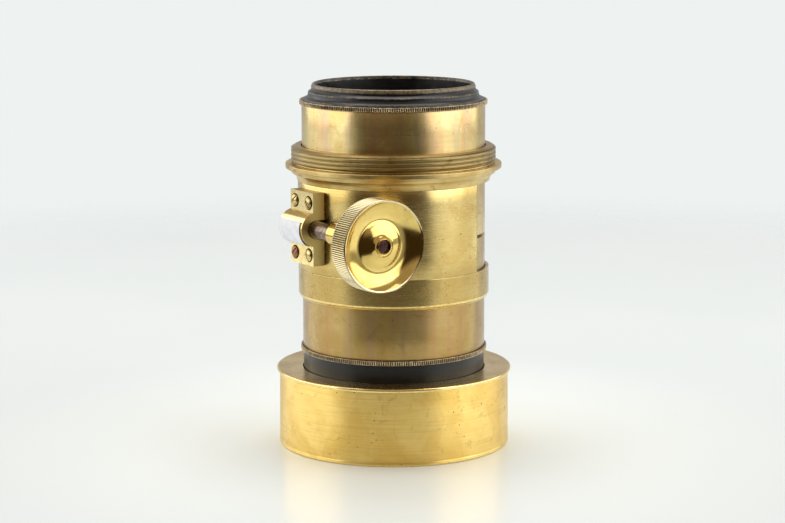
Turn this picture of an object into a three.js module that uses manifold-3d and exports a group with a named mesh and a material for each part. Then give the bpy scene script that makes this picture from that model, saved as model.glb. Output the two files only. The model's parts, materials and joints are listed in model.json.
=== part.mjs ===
// Brass portrait lens for a plate camera, standing on its lens hood.
// Millimetres, +Z along the optical axis towards the camera (rear) end. The origin is on the
// optical axis, in the plane where the shoulder of the mounting thread seats on its flange.
// The focusing pinion lies along Y on the -X side, and its knob points to -Y.
// Heights in the constants are measured up from the edge of the hood; the last lines of the
// file shift the whole assembly so that the seat comes to Z = 0.

import * as THREE from 'three';
import { mergeVertices } from 'three/addons/utils/BufferGeometryUtils.js';
import Module from 'manifold-3d';

const wasm = await Module();
wasm.setup();

// ---------------------------------------------------------------- driving dimensions

const SEGMENTS = 40; // facets round every coaxial part, so that sliding parts share their facets
const FIT_GAP = 0.3; // between a part and the cut-out that it sits in
const SEAM = 0.05; // between soldered or screwed faces
const OVERCUT = 1; // how far a cutting tool reaches past the face that it opens
const EDGE_BREAK = 0.3; // the small chamfer on turned edges

const TUBE_RADIUS = 29.5;
const TUBE_BORE = 28.2;
const SLIDE_GAP = 0.35; // between the inner tube and the bore of the barrel
const BARREL_BORE = TUBE_RADIUS + SLIDE_GAP;
const BARREL_RADIUS = 30.85;

const HOOD_RADIUS = 37.4;
const HOOD_TOP_RADIUS = 37.2;
const HOOD_BORE = 36.1;
const HOOD_RIM_RADIUS = 38.1;
const HOOD_HEIGHT = 25;
const HOOD_PLATE = 1.2; // thickness of the annular plate that closes the top of the hood
const SLEEVE_BORE = 29.65;
const SLEEVE_WALL = 1;
const SLEEVE_BOTTOM = 9;
const SLEEVE_LIP = 2; // how far the lip at the sleeve's lower end reaches inwards

const FRONT_CELL_BOTTOM = 10.3;
const FRONT_CELL_RADIUS = 29.35;
const FRONT_KNURL = { radius: 30.2, bottom: 30.7, top: 32.2 };
const REAR_KNURL = { radius: 30.2, bottom: 110.6, top: 112 };
const SPIGOT_RADIUS = 28; // the cells' threaded necks inside the inner tube
const FRONT_SPIGOT_TOP = 40;
const REAR_CELL_BOTTOM = 96;
// The moulded rim behind the rear cell's knurled ring, from the ring out to the lip and in.
const REAR_RIM = [
  [29.1, 112],
  [28.9, 112.5],
  [27.7, 113.5],
  [27.3, 114.7],
  [26.4, 115.4],
  [26.4, 116.5],
  [25.9, 117.2],
  [25.4, 117],
  [25.1, 116.4],
];

const BAND_BOTTOM = 48.5;
const BAND_TOP = 58.1;
const BAND_CHAMFER = { width: 0.65, height: 1 };
const COLLAR_BOTTOM = 86.2;
// The cove that leads from the barrel out to the underside of the shoulder.
const COLLAR_COVE = [
  [31.2, 86.2],
  [31.5, 86.6],
  [32.1, 87.5],
  [32.8, 88.7],
  [33.2, 90.1],
];
const SEAT_HEIGHT = 91.7; // rear face of the shoulder
const COLLAR_TOP = 97.4;
const SHOULDER_RADIUS = 34.8;
const SHOULDER_THICKNESS = 1.6;
const SEAT_EDGE_BREAK = 0.2;
const THREAD_RADIUS = 32.9;
const THREAD_END_RADIUS = 31.7; // where the thread's lead-in meets the rear face
const THREAD_LEAD_IN = 0.8;
const WINDOW_HALF_ANGLE = THREE.MathUtils.degToRad(63.4);
const JACKET_CURVE_SEGMENTS = 34;

const STOP_SLOT = {
  bottom: 68.5,
  top: 69.5,
  halfAngle: THREE.MathUtils.degToRad(60),
  curveSegments: 12,
};
const STOP_GUIDE = { radius: 27.9, aperture: 21.5, thickness: 1, notchX: -26.5 };

const FRONT_GLASS = { radius: 26.6, seat: 26, cellBore: 27, aperture: 25 };
const REAR_GLASS = { radius: 24.8, seat: 97.5, cellBore: 25.1, aperture: 23.6 };
const FRONT_RETAINER = { bore: 24.9, radius: 26.7, bottom: 13.2, top: 16.1 };
const REAR_RETAINER = { bore: 23.4, radius: 24.9, height: 1.8, gap: 0.4 };

const MODULE = 0.5; // of the rack and pinion
const PINION_TEETH = 16;
const PITCH_RADIUS = (MODULE * PINION_TEETH) / 2;
const PRESSURE_ANGLE = THREE.MathUtils.degToRad(20);
const TOOTH_PITCH = Math.PI * MODULE;
const TOOTH_THINNING = 0.1; // play between the teeth
const ADDENDUM = 0.9 * MODULE;
const DEDENDUM = 1.2 * MODULE;
const RACK_TEETH_BELOW = 12;
const RACK_TEETH_ABOVE = 10;
const RACK_HALF_WIDTH = 2.3;
const PINION_HALF_LENGTH = RACK_HALF_WIDTH; // the leaves dip into the rack's slot in the tube
// The strip behind the rack's teeth, inside the tube.
const RACK_STRIP = { halfWidth: 4.5, outerX: -27.5, innerX: -26.8, toothBackX: -27.1 };

const SHAFT_X = -33.2;
const SHAFT_HEIGHT = 73.1;
const SHAFT_RADIUS = 2.85;
const SHAFT_SHOULDER = -17.8;
const SHAFT_END_RADIUS = 2.15;
const SHAFT_FAR_END = 6.7;
const SHAFT_FACETS = 32;
const SHAFT_RELIEF_HALF_LENGTH = 9; // of the groove in the barrel's wall beside the shaft

const BRIDGE_FACE = -34.4;
const BRIDGE_HALF_WIDTH = 6.9;
const BRIDGE_HALF_HEIGHT = 11.6;
const BRIDGE_BOSS_RADIUS = 5.5;
const BRIDGE_FACETS = 40;
const BRIDGE_INNER_RADIUS = 31.05;
const BRIDGE_BORE_FACETS = 96;
const BRIDGE_BACK = -29; // the lugs' blank before it is bored to fit the barrel
const BARREL_SIDE = -28; // cuts for the shaft run from its axis to here
const BEARING_RADIUS = 2.95;
const CHAMBER_RADIUS = 4.8;
const CHAMBER_HALF_LENGTH = PINION_HALF_LENGTH + 0.4;

const SCREW = {
  across: 4.15, // half the distance between screws along the shaft
  up: 8.3, // half the distance between screws along the optical axis
  headRadius: 1.95,
  headTop: -35.1,
  headBottom: -33.5,
  shankRadius: 0.85,
  tip: -29.95,
  slotWidth: 0.45,
  slotDepth: 0.4,
  seatGap: 0.1, // between the head and the floor of its counterbore
  rootOverlap: 0.3, // how far the shank runs up into the head
  facets: 16,
};
const SCREW_CUT_START = -40; // outside the bridge
const SCREW_SLOT_ANGLES = [40, -35, 38, -15].map(THREE.MathUtils.degToRad);

const LABEL = {
  inner: 5.6,
  outer: 5.8,
  from: THREE.MathUtils.degToRad(-70),
  to: THREE.MathUtils.degToRad(30),
  nearEnd: -5.9,
  farEnd: 6.6,
  curveSegments: 16,
};

const KNOB = {
  face: -46.5,
  knurlFront: -45.6,
  back: -38.9,
  radius: 14.2,
  hubRadius: 3.6,
  hubEnd: -17.9,
  bore: 2.45,
  rimWidth: 0.35,
  dishRadius: 13.6,
  dishLip: 0.15,
  creaseRadius: 7.6,
  creaseDepth: 2.4,
  dishHollow: 0.3,
  bossDepth: 0.8,
  bossDome: 0.2,
  dishSteps: 4,
  bossSteps: 3,
  facets: 40,
};
// The back of the knob as [radius, Y], from the hub out to the knurling.
const KNOB_BACK = [
  [KNOB.hubRadius, -33],
  [4.6, -36.2],
  [7.5, -38.2],
  [12.4, -39.3],
  [13.7, KNOB.back],
  [KNOB.radius, KNOB.back - 0.4],
];

// ---------------------------------------------------------------- materials

function metal(color, roughness, metalness = 1) {
  return new THREE.MeshStandardMaterial({ color, roughness, metalness });
}

const brushedBrass = () => metal(0xc09a4c, 0.35);
const agedBrass = () => metal(0x9c8548, 0.4);
const polishedBrass = () => metal(0xd0aa50, 0.18);
const blackLacquer = () => metal(0x1b1714, 0.45, 0.4);
const darkSteel = () => metal(0x4a403c, 0.4);
const paper = () => metal(0xf2f4f8, 0.9, 0);
const glass = () => {
  const clear = metal(0xdfeae4, 0.05, 0);
  clear.transparent = true;
  clear.opacity = 0.35;
  return clear;
};

// ---------------------------------------------------------------- shape helpers

// A closed profile of [radius, height] points, anticlockwise with radius to the right and
// height up, turned about the optical axis.
function turned(profile, facets = SEGMENTS) {
  const points = profile.map(([r, h]) => new THREE.Vector2(r, h));
  const onAxis = profile[0][0] === 0 && profile[profile.length - 1][0] === 0;
  if (!onAxis) points.push(points[0].clone());
  return welded(new THREE.LatheGeometry(points, facets).rotateX(Math.PI / 2));
}

function ring(inner, outer, bottom, top) {
  return turned([[inner, bottom], [outer, bottom], [outer, top], [inner, top]]);
}

// Merges shared corners and drops the triangles that shrink to a line on the axis.
function welded(geometry) {
  geometry.deleteAttribute('normal');
  geometry.deleteAttribute('uv');
  const merged = mergeVertices(geometry, 1e-4);
  const kept = [];
  const index = merged.index.array;
  for (let i = 0; i < index.length; i += 3) {
    const [a, b, c] = index.slice(i, i + 3);
    if (a !== b && b !== c && c !== a) kept.push(a, b, c);
  }
  merged.setIndex(kept);
  return merged;
}

function toSolid(geometry) {
  const closed = welded(geometry.clone());
  const vertProperties = new Float32Array(closed.attributes.position.array);
  const triVerts = new Uint32Array(closed.index.array);
  return new wasm.Manifold(new wasm.Mesh({ numProp: 3, vertProperties, triVerts }));
}

function toGeometry(solid) {
  const mesh = solid.getMesh();
  const geometry = new THREE.BufferGeometry();
  geometry.setAttribute('position', new THREE.BufferAttribute(mesh.vertProperties, 3));
  geometry.setIndex(new THREE.BufferAttribute(mesh.triVerts, 1));
  return geometry;
}

function cut(body, ...tools) {
  return toGeometry(tools.reduce((rest, tool) => rest.subtract(toSolid(tool)), toSolid(body)));
}

function join(...bodies) {
  const [first, ...others] = bodies.map(toSolid);
  return toGeometry(others.reduce((whole, other) => whole.add(other), first));
}

function boxBetween(low, high) {
  const size = high.map((value, i) => value - low[i]);
  const middle = high.map((value, i) => (value + low[i]) / 2);
  return new THREE.BoxGeometry(...size).translate(...middle);
}

// A round bar parallel to the pinion shaft, centred on its axis.
function barAlongShaft(radius, nearEnd, farEnd, facets = BRIDGE_FACETS) {
  return new THREE.CylinderGeometry(radius, radius, farEnd - nearEnd, facets)
    .translate(SHAFT_X, (nearEnd + farEnd) / 2, SHAFT_HEIGHT);
}

// A round bar parallel to X, for the screws and their holes.
function barAlongX(radius, low, high, y, z, facets = SCREW.facets) {
  return new THREE.CylinderGeometry(radius, radius, high - low, facets)
    .rotateZ(Math.PI / 2)
    .translate((low + high) / 2, y, z);
}

// An outline in the plane across the shaft, extruded along the shaft. The outline's x is the
// object's X and its y is the object's Z, both measured from the shaft axis.
function extrudedAlongShaft(shape, nearEnd, farEnd, curveSegments = 12) {
  const settings = { depth: farEnd - nearEnd, bevelEnabled: false, curveSegments };
  return new THREE.ExtrudeGeometry(shape, settings)
    .rotateX(Math.PI / 2)
    .translate(SHAFT_X, farEnd, SHAFT_HEIGHT);
}

// Points along a circular arc from [r0, h0] to [r1, h1] that bulges to the left of its
// direction by the given height. The first point is left out.
function arcPoints([r0, h0], [r1, h1], bulge, count) {
  const chord = Math.hypot(r1 - r0, h1 - h0);
  const radius = (chord * chord) / (8 * bulge) + bulge / 2;
  const half = Math.asin(chord / 2 / Math.abs(radius));
  const along = [(r1 - r0) / chord, (h1 - h0) / chord];
  const left = [-along[1], along[0]];
  return Array.from({ length: count }, (_, i) => {
    const turn = half * ((2 * (i + 1)) / count - 1);
    const forward = chord / 2 + Math.abs(radius) * Math.sin(turn);
    const side = bulge - radius * (1 - Math.cos(turn));
    return [r0 + along[0] * forward + left[0] * side, h0 + along[1] * forward + left[1] * side];
  });
}

// ---------------------------------------------------------------- lens hood

function hoodWall() {
  const top = HOOD_HEIGHT - HOOD_PLATE - SEAM;
  return turned([
    [HOOD_BORE, 0],
    [HOOD_RADIUS - EDGE_BREAK, 0],
    [HOOD_RADIUS, EDGE_BREAK],
    [HOOD_TOP_RADIUS, top],
    [HOOD_BORE, top],
  ]);
}

function hoodPlate() {
  const bottom = HOOD_HEIGHT - HOOD_PLATE;
  return turned([
    [SLEEVE_BORE, bottom],
    [HOOD_RIM_RADIUS - EDGE_BREAK, bottom],
    [HOOD_RIM_RADIUS, bottom + EDGE_BREAK],
    [HOOD_RIM_RADIUS, HOOD_HEIGHT - EDGE_BREAK],
    [HOOD_RIM_RADIUS - EDGE_BREAK, HOOD_HEIGHT],
    [SLEEVE_BORE, HOOD_HEIGHT],
  ]);
}

// The sleeve slips over the front cell; the lip at its lower end stops the hood there.
function hoodSleeve() {
  const outer = SLEEVE_BORE + SLEEVE_WALL;
  const top = HOOD_HEIGHT - HOOD_PLATE - SEAM;
  const lipTop = FRONT_CELL_BOTTOM - FIT_GAP;
  const lipBore = SLEEVE_BORE - SLEEVE_LIP;
  return turned([
    [lipBore, SLEEVE_BOTTOM],
    [outer, SLEEVE_BOTTOM],
    [outer, top],
    [SLEEVE_BORE, top],
    [SLEEVE_BORE, lipTop],
    [lipBore, lipTop],
  ]);
}

// ---------------------------------------------------------------- cells and glass

function frontCell() {
  const { seat, cellBore, aperture } = FRONT_GLASS;
  return turned([
    [cellBore, FRONT_CELL_BOTTOM],
    [FRONT_CELL_RADIUS, FRONT_CELL_BOTTOM],
    [FRONT_CELL_RADIUS, FRONT_KNURL.bottom],
    [FRONT_KNURL.radius, FRONT_KNURL.bottom],
    [FRONT_KNURL.radius, FRONT_KNURL.top],
    [SPIGOT_RADIUS, FRONT_KNURL.top],
    [SPIGOT_RADIUS, FRONT_SPIGOT_TOP],
    [aperture, FRONT_SPIGOT_TOP],
    [aperture, seat],
    [cellBore, seat],
  ]);
}

function rearCell() {
  const { seat, cellBore, aperture } = REAR_GLASS;
  return turned([
    [aperture, REAR_CELL_BOTTOM],
    [SPIGOT_RADIUS, REAR_CELL_BOTTOM],
    [SPIGOT_RADIUS, REAR_KNURL.bottom],
    [REAR_KNURL.radius, REAR_KNURL.bottom],
    [REAR_KNURL.radius, REAR_KNURL.top],
    ...REAR_RIM,
    [cellBore, seat],
    [aperture, seat],
  ]);
}

// Height that a spherical surface of the given radius falls from its middle to the edge.
function sag(surfaceRadius, edgeRadius) {
  return surfaceRadius - Math.sqrt(surfaceRadius ** 2 - edgeRadius ** 2);
}

// A lens turned about the axis. The front surface is met first from below; a positive radius
// puts a surface's middle below its edge, and Infinity makes it flat.
function lens({ edgeRadius, frontEdge, backEdge, frontRadius, backRadius }) {
  const surface = (edgeHeight, radius) =>
    Array.from({ length: LENS_RINGS + 1 }, (_, i) => {
      const r = (edgeRadius * i) / LENS_RINGS;
      if (!Number.isFinite(radius)) return [r, edgeHeight];
      const fall = sag(Math.abs(radius), edgeRadius) - sag(Math.abs(radius), r);
      return [r, edgeHeight - Math.sign(radius) * fall];
    });
  const front = surface(frontEdge, frontRadius);
  const back = surface(backEdge, backRadius).reverse();
  const flat = ([r], i, all) => i === 0 || i === all.length - 1 || r === 0;
  const frontPoints = Number.isFinite(frontRadius) ? front : front.filter(flat);
  const backPoints = Number.isFinite(backRadius) ? back : back.filter(flat);
  return turned([...frontPoints, ...backPoints]);
}

const LENS_RINGS = 4; // rings of facets on a curved glass surface
const GLASS_GAP = 0.1; // between a glass and the metal that it rests on
const CEMENT_RADIUS = 70;
const FRONT_SURFACE_RADIUS = 75;
const CROWN_EDGE = 1.6;
const FLINT_MIDDLE = 2.2;
const flintBack = FRONT_GLASS.seat - GLASS_GAP;
const flintFront = flintBack - FLINT_MIDDLE - sag(CEMENT_RADIUS, FRONT_GLASS.radius);
const crownBack = flintFront - SEAM;
const crownFront = crownBack - CROWN_EDGE;

const frontFlint = () => lens({
  edgeRadius: FRONT_GLASS.radius,
  frontEdge: flintFront,
  backEdge: flintBack,
  frontRadius: -CEMENT_RADIUS,
  backRadius: Infinity,
});

const frontCrown = () => lens({
  edgeRadius: FRONT_GLASS.radius,
  frontEdge: crownFront,
  backEdge: crownBack,
  frontRadius: FRONT_SURFACE_RADIUS,
  backRadius: -CEMENT_RADIUS,
});

const REAR_FLINT = { edge: 5.35, frontRadius: 110, backRadius: 50 };
const REAR_CROWN = { edge: 1.43, frontRadius: 55, backRadius: -150 };
const SPACER_HEIGHT = 0.6;
const CURVE_CLEARANCE = 0.7; // lets the convex face of the rear crown clear the spacer's edge
const SEAT_CLEARANCE = 0.4; // lets the convex front of the rear flint clear the seat's edge
const rearFlintFront = REAR_GLASS.seat + SEAT_CLEARANCE;
const rearFlintBack = rearFlintFront + REAR_FLINT.edge;
const spacerBottom = rearFlintBack + GLASS_GAP;
const rearCrownFront = spacerBottom + SPACER_HEIGHT + CURVE_CLEARANCE;
const rearCrownBack = rearCrownFront + REAR_CROWN.edge;

const rearFlint = () => lens({
  edgeRadius: REAR_GLASS.radius,
  frontEdge: rearFlintFront,
  backEdge: rearFlintBack,
  frontRadius: REAR_FLINT.frontRadius,
  backRadius: REAR_FLINT.backRadius,
});

const rearCrown = () => lens({
  edgeRadius: REAR_GLASS.radius,
  frontEdge: rearCrownFront,
  backEdge: rearCrownBack,
  frontRadius: REAR_CROWN.frontRadius,
  backRadius: REAR_CROWN.backRadius,
});

function frontRetainingRing() {
  return ring(FRONT_RETAINER.bore, FRONT_RETAINER.radius, FRONT_RETAINER.bottom, FRONT_RETAINER.top);
}

function rearSpacerRing() {
  return ring(REAR_GLASS.aperture, REAR_GLASS.radius, spacerBottom, spacerBottom + SPACER_HEIGHT);
}

function rearRetainingRing() {
  const bottom = rearCrownBack + REAR_RETAINER.gap;
  return ring(REAR_RETAINER.bore, REAR_RETAINER.radius, bottom, bottom + REAR_RETAINER.height);
}

// ---------------------------------------------------------------- inner tube and stop slot

const rackBottom = SHAFT_HEIGHT - (RACK_TEETH_BELOW + 0.5) * TOOTH_PITCH;
const rackTop = SHAFT_HEIGHT + (RACK_TEETH_ABOVE + 0.5) * TOOTH_PITCH;

// A wedge of the tube wall centred on +X, seen from above, between the two stop guides.
function stopSlotTool() {
  const { bottom, top, halfAngle, curveSegments } = STOP_SLOT;
  const shape = new THREE.Shape();
  shape.absarc(0, 0, TUBE_RADIUS + OVERCUT, -halfAngle, halfAngle, false);
  shape.absarc(0, 0, TUBE_BORE - OVERCUT, halfAngle, -halfAngle, true);
  shape.closePath();
  const settings = { depth: top - bottom, bevelEnabled: false, curveSegments };
  return new THREE.ExtrudeGeometry(shape, settings).translate(0, 0, bottom);
}

function innerTube() {
  const wall = ring(TUBE_BORE, TUBE_RADIUS, FRONT_KNURL.top + SEAM, REAR_KNURL.bottom - SEAM);
  const halfWidth = RACK_HALF_WIDTH + FIT_GAP;
  const rackSlot = boxBetween(
    [-TUBE_RADIUS - OVERCUT, -halfWidth, rackBottom - FIT_GAP],
    [-TUBE_BORE + OVERCUT, halfWidth, rackTop + FIT_GAP],
  );
  return cut(wall, rackSlot, stopSlotTool());
}

function stopGuide(bottom) {
  const { radius, aperture, thickness, notchX } = STOP_GUIDE;
  const plate = ring(aperture, radius, bottom, bottom + thickness);
  const halfWidth = RACK_STRIP.halfWidth + FIT_GAP;
  const rackNotch = boxBetween(
    [-radius - OVERCUT, -halfWidth, bottom - OVERCUT],
    [notchX, halfWidth, bottom + thickness + OVERCUT],
  );
  return cut(plate, rackNotch);
}

const frontStopGuide = () => stopGuide(STOP_SLOT.bottom - FIT_GAP - STOP_GUIDE.thickness);
const rearStopGuide = () => stopGuide(STOP_SLOT.top + FIT_GAP);

// ---------------------------------------------------------------- rack, pinion and knob

const rackPitchX = SHAFT_X + PITCH_RADIUS;

// One tooth stands at the height of the shaft, and meets a gap of the pinion there.
function focusRack() {
  const tip = -ADDENDUM;
  const root = DEDENDUM;
  const halfTooth = TOOTH_PITCH / 4 - TOOTH_THINNING / 2;
  const halfAt = (depth) => halfTooth + depth * Math.tan(PRESSURE_ANGLE);
  const back = RACK_STRIP.toothBackX - rackPitchX;
  const outline = new THREE.Shape();
  const low = -(RACK_TEETH_BELOW + 0.5) * TOOTH_PITCH;
  const high = (RACK_TEETH_ABOVE + 0.5) * TOOTH_PITCH;
  outline.moveTo(back, low);
  outline.lineTo(back, high);
  outline.lineTo(root, high);
  for (let tooth = RACK_TEETH_ABOVE; tooth >= -RACK_TEETH_BELOW; tooth -= 1) {
    const centre = tooth * TOOTH_PITCH;
    outline.lineTo(root, centre + halfAt(root));
    outline.lineTo(tip, centre + halfAt(tip));
    outline.lineTo(tip, centre - halfAt(tip));
    outline.lineTo(root, centre - halfAt(root));
  }
  outline.lineTo(root, low);
  const teeth = extrudedAlongShaft(outline, -RACK_HALF_WIDTH, RACK_HALF_WIDTH)
    .translate(PITCH_RADIUS, 0, 0);
  const strip = boxBetween(
    [RACK_STRIP.outerX, -RACK_STRIP.halfWidth, rackBottom],
    [RACK_STRIP.innerX, RACK_STRIP.halfWidth, rackTop],
  );
  return join(teeth, strip);
}

// Involute leaves; a gap between two leaves faces the rack.
function pinionOutline() {
  const base = PITCH_RADIUS * Math.cos(PRESSURE_ANGLE);
  const tip = PITCH_RADIUS + ADDENDUM;
  const root = PITCH_RADIUS - DEDENDUM;
  const involute = (angle) => Math.tan(angle) - angle;
  const halfTooth = Math.PI / 2 / PINION_TEETH - TOOTH_THINNING / 2 / PITCH_RADIUS;
  const halfAtBase = halfTooth + involute(PRESSURE_ANGLE);
  const halfAngleAt = (radius) => halfAtBase - involute(Math.acos(Math.min(1, base / radius)));
  const radii = [root, base, PITCH_RADIUS, (PITCH_RADIUS + tip) / 2, tip];
  const points = [];
  for (let tooth = 0; tooth < PINION_TEETH; tooth += 1) {
    const centre = ((tooth + 0.5) / PINION_TEETH) * 2 * Math.PI;
    const flank = radii.map((radius) => [radius, halfAngleAt(Math.max(radius, base))]);
    for (const [radius, half] of flank) points.push([radius, centre - half]);
    for (const [radius, half] of flank.reverse()) points.push([radius, centre + half]);
  }
  return new THREE.Shape(points.map(([r, a]) => new THREE.Vector2(r * Math.cos(a), r * Math.sin(a))));
}

function pinionShaft() {
  const endFace = KNOB.face + KNOB.bossDepth;
  const journal = barAlongShaft(SHAFT_RADIUS, SHAFT_SHOULDER, SHAFT_FAR_END, SHAFT_FACETS);
  const end = barAlongShaft(SHAFT_END_RADIUS, endFace, SHAFT_SHOULDER + OVERCUT, SHAFT_FACETS);
  const leaves = extrudedAlongShaft(pinionOutline(), -PINION_HALF_LENGTH, PINION_HALF_LENGTH);
  return join(journal, end, leaves);
}

// A solid turned about the shaft axis: profile points are [radius, Y].
function turnedAboutShaft(profile, facets) {
  return turned(profile.map(([r, y]) => [r, -y]), facets)
    .rotateX(Math.PI / 2)
    .translate(SHAFT_X, 0, SHAFT_HEIGHT);
}

function focusKnob() {
  const k = KNOB;
  const crease = [k.creaseRadius, k.face + k.creaseDepth];
  const rimInner = [k.dishRadius, k.face + k.dishLip];
  const bossEdge = [k.bore, k.face + k.bossDepth];
  return turnedAboutShaft(
    [
      [k.bore, k.hubEnd],
      [k.hubRadius - EDGE_BREAK, k.hubEnd],
      [k.hubRadius, k.hubEnd - EDGE_BREAK],
      ...KNOB_BACK,
      [k.radius, k.knurlFront],
      [k.radius - k.rimWidth, k.face],
      rimInner,
      ...arcPoints(rimInner, crease, -k.dishHollow, k.dishSteps),
      ...arcPoints(crease, bossEdge, k.bossDome, k.bossSteps),
    ],
    k.facets,
  );
}

// ---------------------------------------------------------------- barrel

const screwPlaces = [
  [SCREW.across, SCREW.up],
  [-SCREW.across, SCREW.up],
  [SCREW.across, -SCREW.up],
  [-SCREW.across, -SCREW.up],
].map(([y, dz]) => [y, SHAFT_HEIGHT + dz]);

function screwHoles() {
  const radius = SCREW.shankRadius + FIT_GAP;
  return screwPlaces.map(([y, z]) => barAlongX(radius, SCREW_CUT_START, BARREL_SIDE, y, z));
}

// The jacket is open from the end band to the collar over the window, opposite the bridge.
function barrelJacket() {
  const shape = new THREE.Shape();
  const from = WINDOW_HALF_ANGLE;
  const to = 2 * Math.PI - WINDOW_HALF_ANGLE;
  shape.absarc(0, 0, BARREL_RADIUS, from, to, false);
  shape.absarc(0, 0, BARREL_BORE, to, from, true);
  shape.closePath();
  const bottom = BAND_TOP + SEAM;
  const depth = COLLAR_BOTTOM - SEAM - bottom;
  const settings = { depth, bevelEnabled: false, curveSegments: JACKET_CURVE_SEGMENTS };
  const wall = new THREE.ExtrudeGeometry(shape, settings).translate(0, 0, bottom);
  const pinionOpening = barAlongShaft(CHAMBER_RADIUS, -CHAMBER_HALF_LENGTH, CHAMBER_HALF_LENGTH);
  const reliefEnd = SHAFT_RELIEF_HALF_LENGTH;
  const shaftRelief = barAlongShaft(SHAFT_RADIUS + FIT_GAP, -reliefEnd, reliefEnd);
  return cut(wall, pinionOpening, shaftRelief, ...screwHoles());
}

function barrelEndBand() {
  return turned([
    [BARREL_BORE, BAND_BOTTOM],
    [BARREL_RADIUS - BAND_CHAMFER.width, BAND_BOTTOM],
    [BARREL_RADIUS, BAND_BOTTOM + BAND_CHAMFER.height],
    [BARREL_RADIUS, BAND_TOP],
    [BARREL_BORE, BAND_TOP],
  ]);
}

function mountCollar() {
  const shoulderBottom = SEAT_HEIGHT - SHOULDER_THICKNESS;
  return turned([
    [BARREL_BORE, COLLAR_BOTTOM],
    ...COLLAR_COVE,
    [SHOULDER_RADIUS - EDGE_BREAK, shoulderBottom],
    [SHOULDER_RADIUS, shoulderBottom + EDGE_BREAK],
    [SHOULDER_RADIUS, SEAT_HEIGHT - SEAT_EDGE_BREAK],
    [SHOULDER_RADIUS - SEAT_EDGE_BREAK, SEAT_HEIGHT],
    [THREAD_RADIUS, SEAT_HEIGHT],
    [THREAD_RADIUS, COLLAR_TOP - THREAD_LEAD_IN],
    [THREAD_END_RADIUS, COLLAR_TOP],
    [BARREL_BORE, COLLAR_TOP],
  ]);
}

// Two lugs and a half-round boss that holds the shaft down on the barrel. The shaft and its
// leaves drop in from the barrel side, so both spaces are open that way.
function pinionBridge() {
  const z = SHAFT_HEIGHT;
  const w = BRIDGE_HALF_WIDTH;
  const block = boxBetween(
    [BRIDGE_FACE, -w, z - BRIDGE_HALF_HEIGHT],
    [BRIDGE_BACK, w, z + BRIDGE_HALF_HEIGHT],
  );
  const boss = barAlongShaft(BRIDGE_BOSS_RADIUS, -w, w);
  const boreRadius = BRIDGE_INNER_RADIUS;
  const boreLength = 4 * BRIDGE_HALF_HEIGHT;
  const barrelSpace = new THREE.CylinderGeometry(boreRadius, boreRadius, boreLength, BRIDGE_BORE_FACETS)
    .rotateX(Math.PI / 2)
    .translate(0, 0, z);
  const bearing = barAlongShaft(BEARING_RADIUS, -w - OVERCUT, w + OVERCUT);
  const bearingWay = boxBetween(
    [SHAFT_X, -w - OVERCUT, z - BEARING_RADIUS],
    [BARREL_SIDE, w + OVERCUT, z + BEARING_RADIUS],
  );
  const chamber = barAlongShaft(CHAMBER_RADIUS, -CHAMBER_HALF_LENGTH, CHAMBER_HALF_LENGTH);
  const chamberWay = boxBetween(
    [SHAFT_X, -CHAMBER_HALF_LENGTH, z - CHAMBER_RADIUS],
    [BARREL_SIDE, CHAMBER_HALF_LENGTH, z + CHAMBER_RADIUS],
  );
  const counterboreFloor = SCREW.headBottom + SCREW.seatGap;
  const counterbores = screwPlaces.map(([y, height]) =>
    barAlongX(SCREW.headRadius + FIT_GAP, SCREW_CUT_START, counterboreFloor, y, height),
  );
  return cut(
    join(block, boss),
    barrelSpace, bearing, bearingWay, chamber, chamberWay, ...counterbores, ...screwHoles(),
  );
}

function bridgeScrew([y, z], slotAngle) {
  const { headRadius, headTop, headBottom, slotWidth, slotDepth } = SCREW;
  const head = barAlongX(headRadius, headTop, headBottom, y, z);
  const shank = barAlongX(SCREW.shankRadius, headBottom - SCREW.rootOverlap, SCREW.tip, y, z);
  const slot = new THREE.BoxGeometry(2 * slotDepth, slotWidth, 2 * headRadius + OVERCUT)
    .rotateX(slotAngle)
    .translate(headTop, y, z);
  return cut(join(head, shank), slot);
}

function paperLabel() {
  const shape = new THREE.Shape();
  const [from, to] = [Math.PI - LABEL.to, Math.PI - LABEL.from];
  shape.absarc(0, 0, LABEL.outer, from, to, false);
  shape.absarc(0, 0, LABEL.inner, to, from, true);
  shape.closePath();
  return extrudedAlongShaft(shape, LABEL.nearEnd, LABEL.farEnd, LABEL.curveSegments);
}

// ---------------------------------------------------------------- assembly

const lensAssembly = new THREE.Group();
lensAssembly.name = 'portrait_lens';

function addPart(name, geometry, material) {
  const mesh = new THREE.Mesh(geometry, material);
  mesh.name = name;
  lensAssembly.add(mesh);
}

addPart('barrel_jacket', barrelJacket(), brushedBrass());
addPart('mount_collar', mountCollar(), brushedBrass());
addPart('barrel_end_band', barrelEndBand(), brushedBrass());
addPart('pinion_bridge', pinionBridge(), polishedBrass());
screwPlaces.forEach((place, i) => {
  addPart(`bridge_screw_${i + 1}`, bridgeScrew(place, SCREW_SLOT_ANGLES[i]), agedBrass());
});
addPart('paper_label', paperLabel(), paper());

addPart('pinion_shaft', pinionShaft(), darkSteel());
addPart('focus_knob', focusKnob(), polishedBrass());

addPart('inner_tube', innerTube(), agedBrass());
addPart('focus_rack', focusRack(), agedBrass());
addPart('front_stop_guide', frontStopGuide(), blackLacquer());
addPart('rear_stop_guide', rearStopGuide(), blackLacquer());
addPart('front_cell', frontCell(), blackLacquer());
addPart('front_crown_lens', frontCrown(), glass());
addPart('front_flint_lens', frontFlint(), glass());
addPart('front_retaining_ring', frontRetainingRing(), blackLacquer());
addPart('rear_cell', rearCell(), blackLacquer());
addPart('rear_flint_lens', rearFlint(), glass());
addPart('rear_spacer_ring', rearSpacerRing(), blackLacquer());
addPart('rear_crown_lens', rearCrown(), glass());
addPart('rear_retaining_ring', rearRetainingRing(), blackLacquer());

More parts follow.
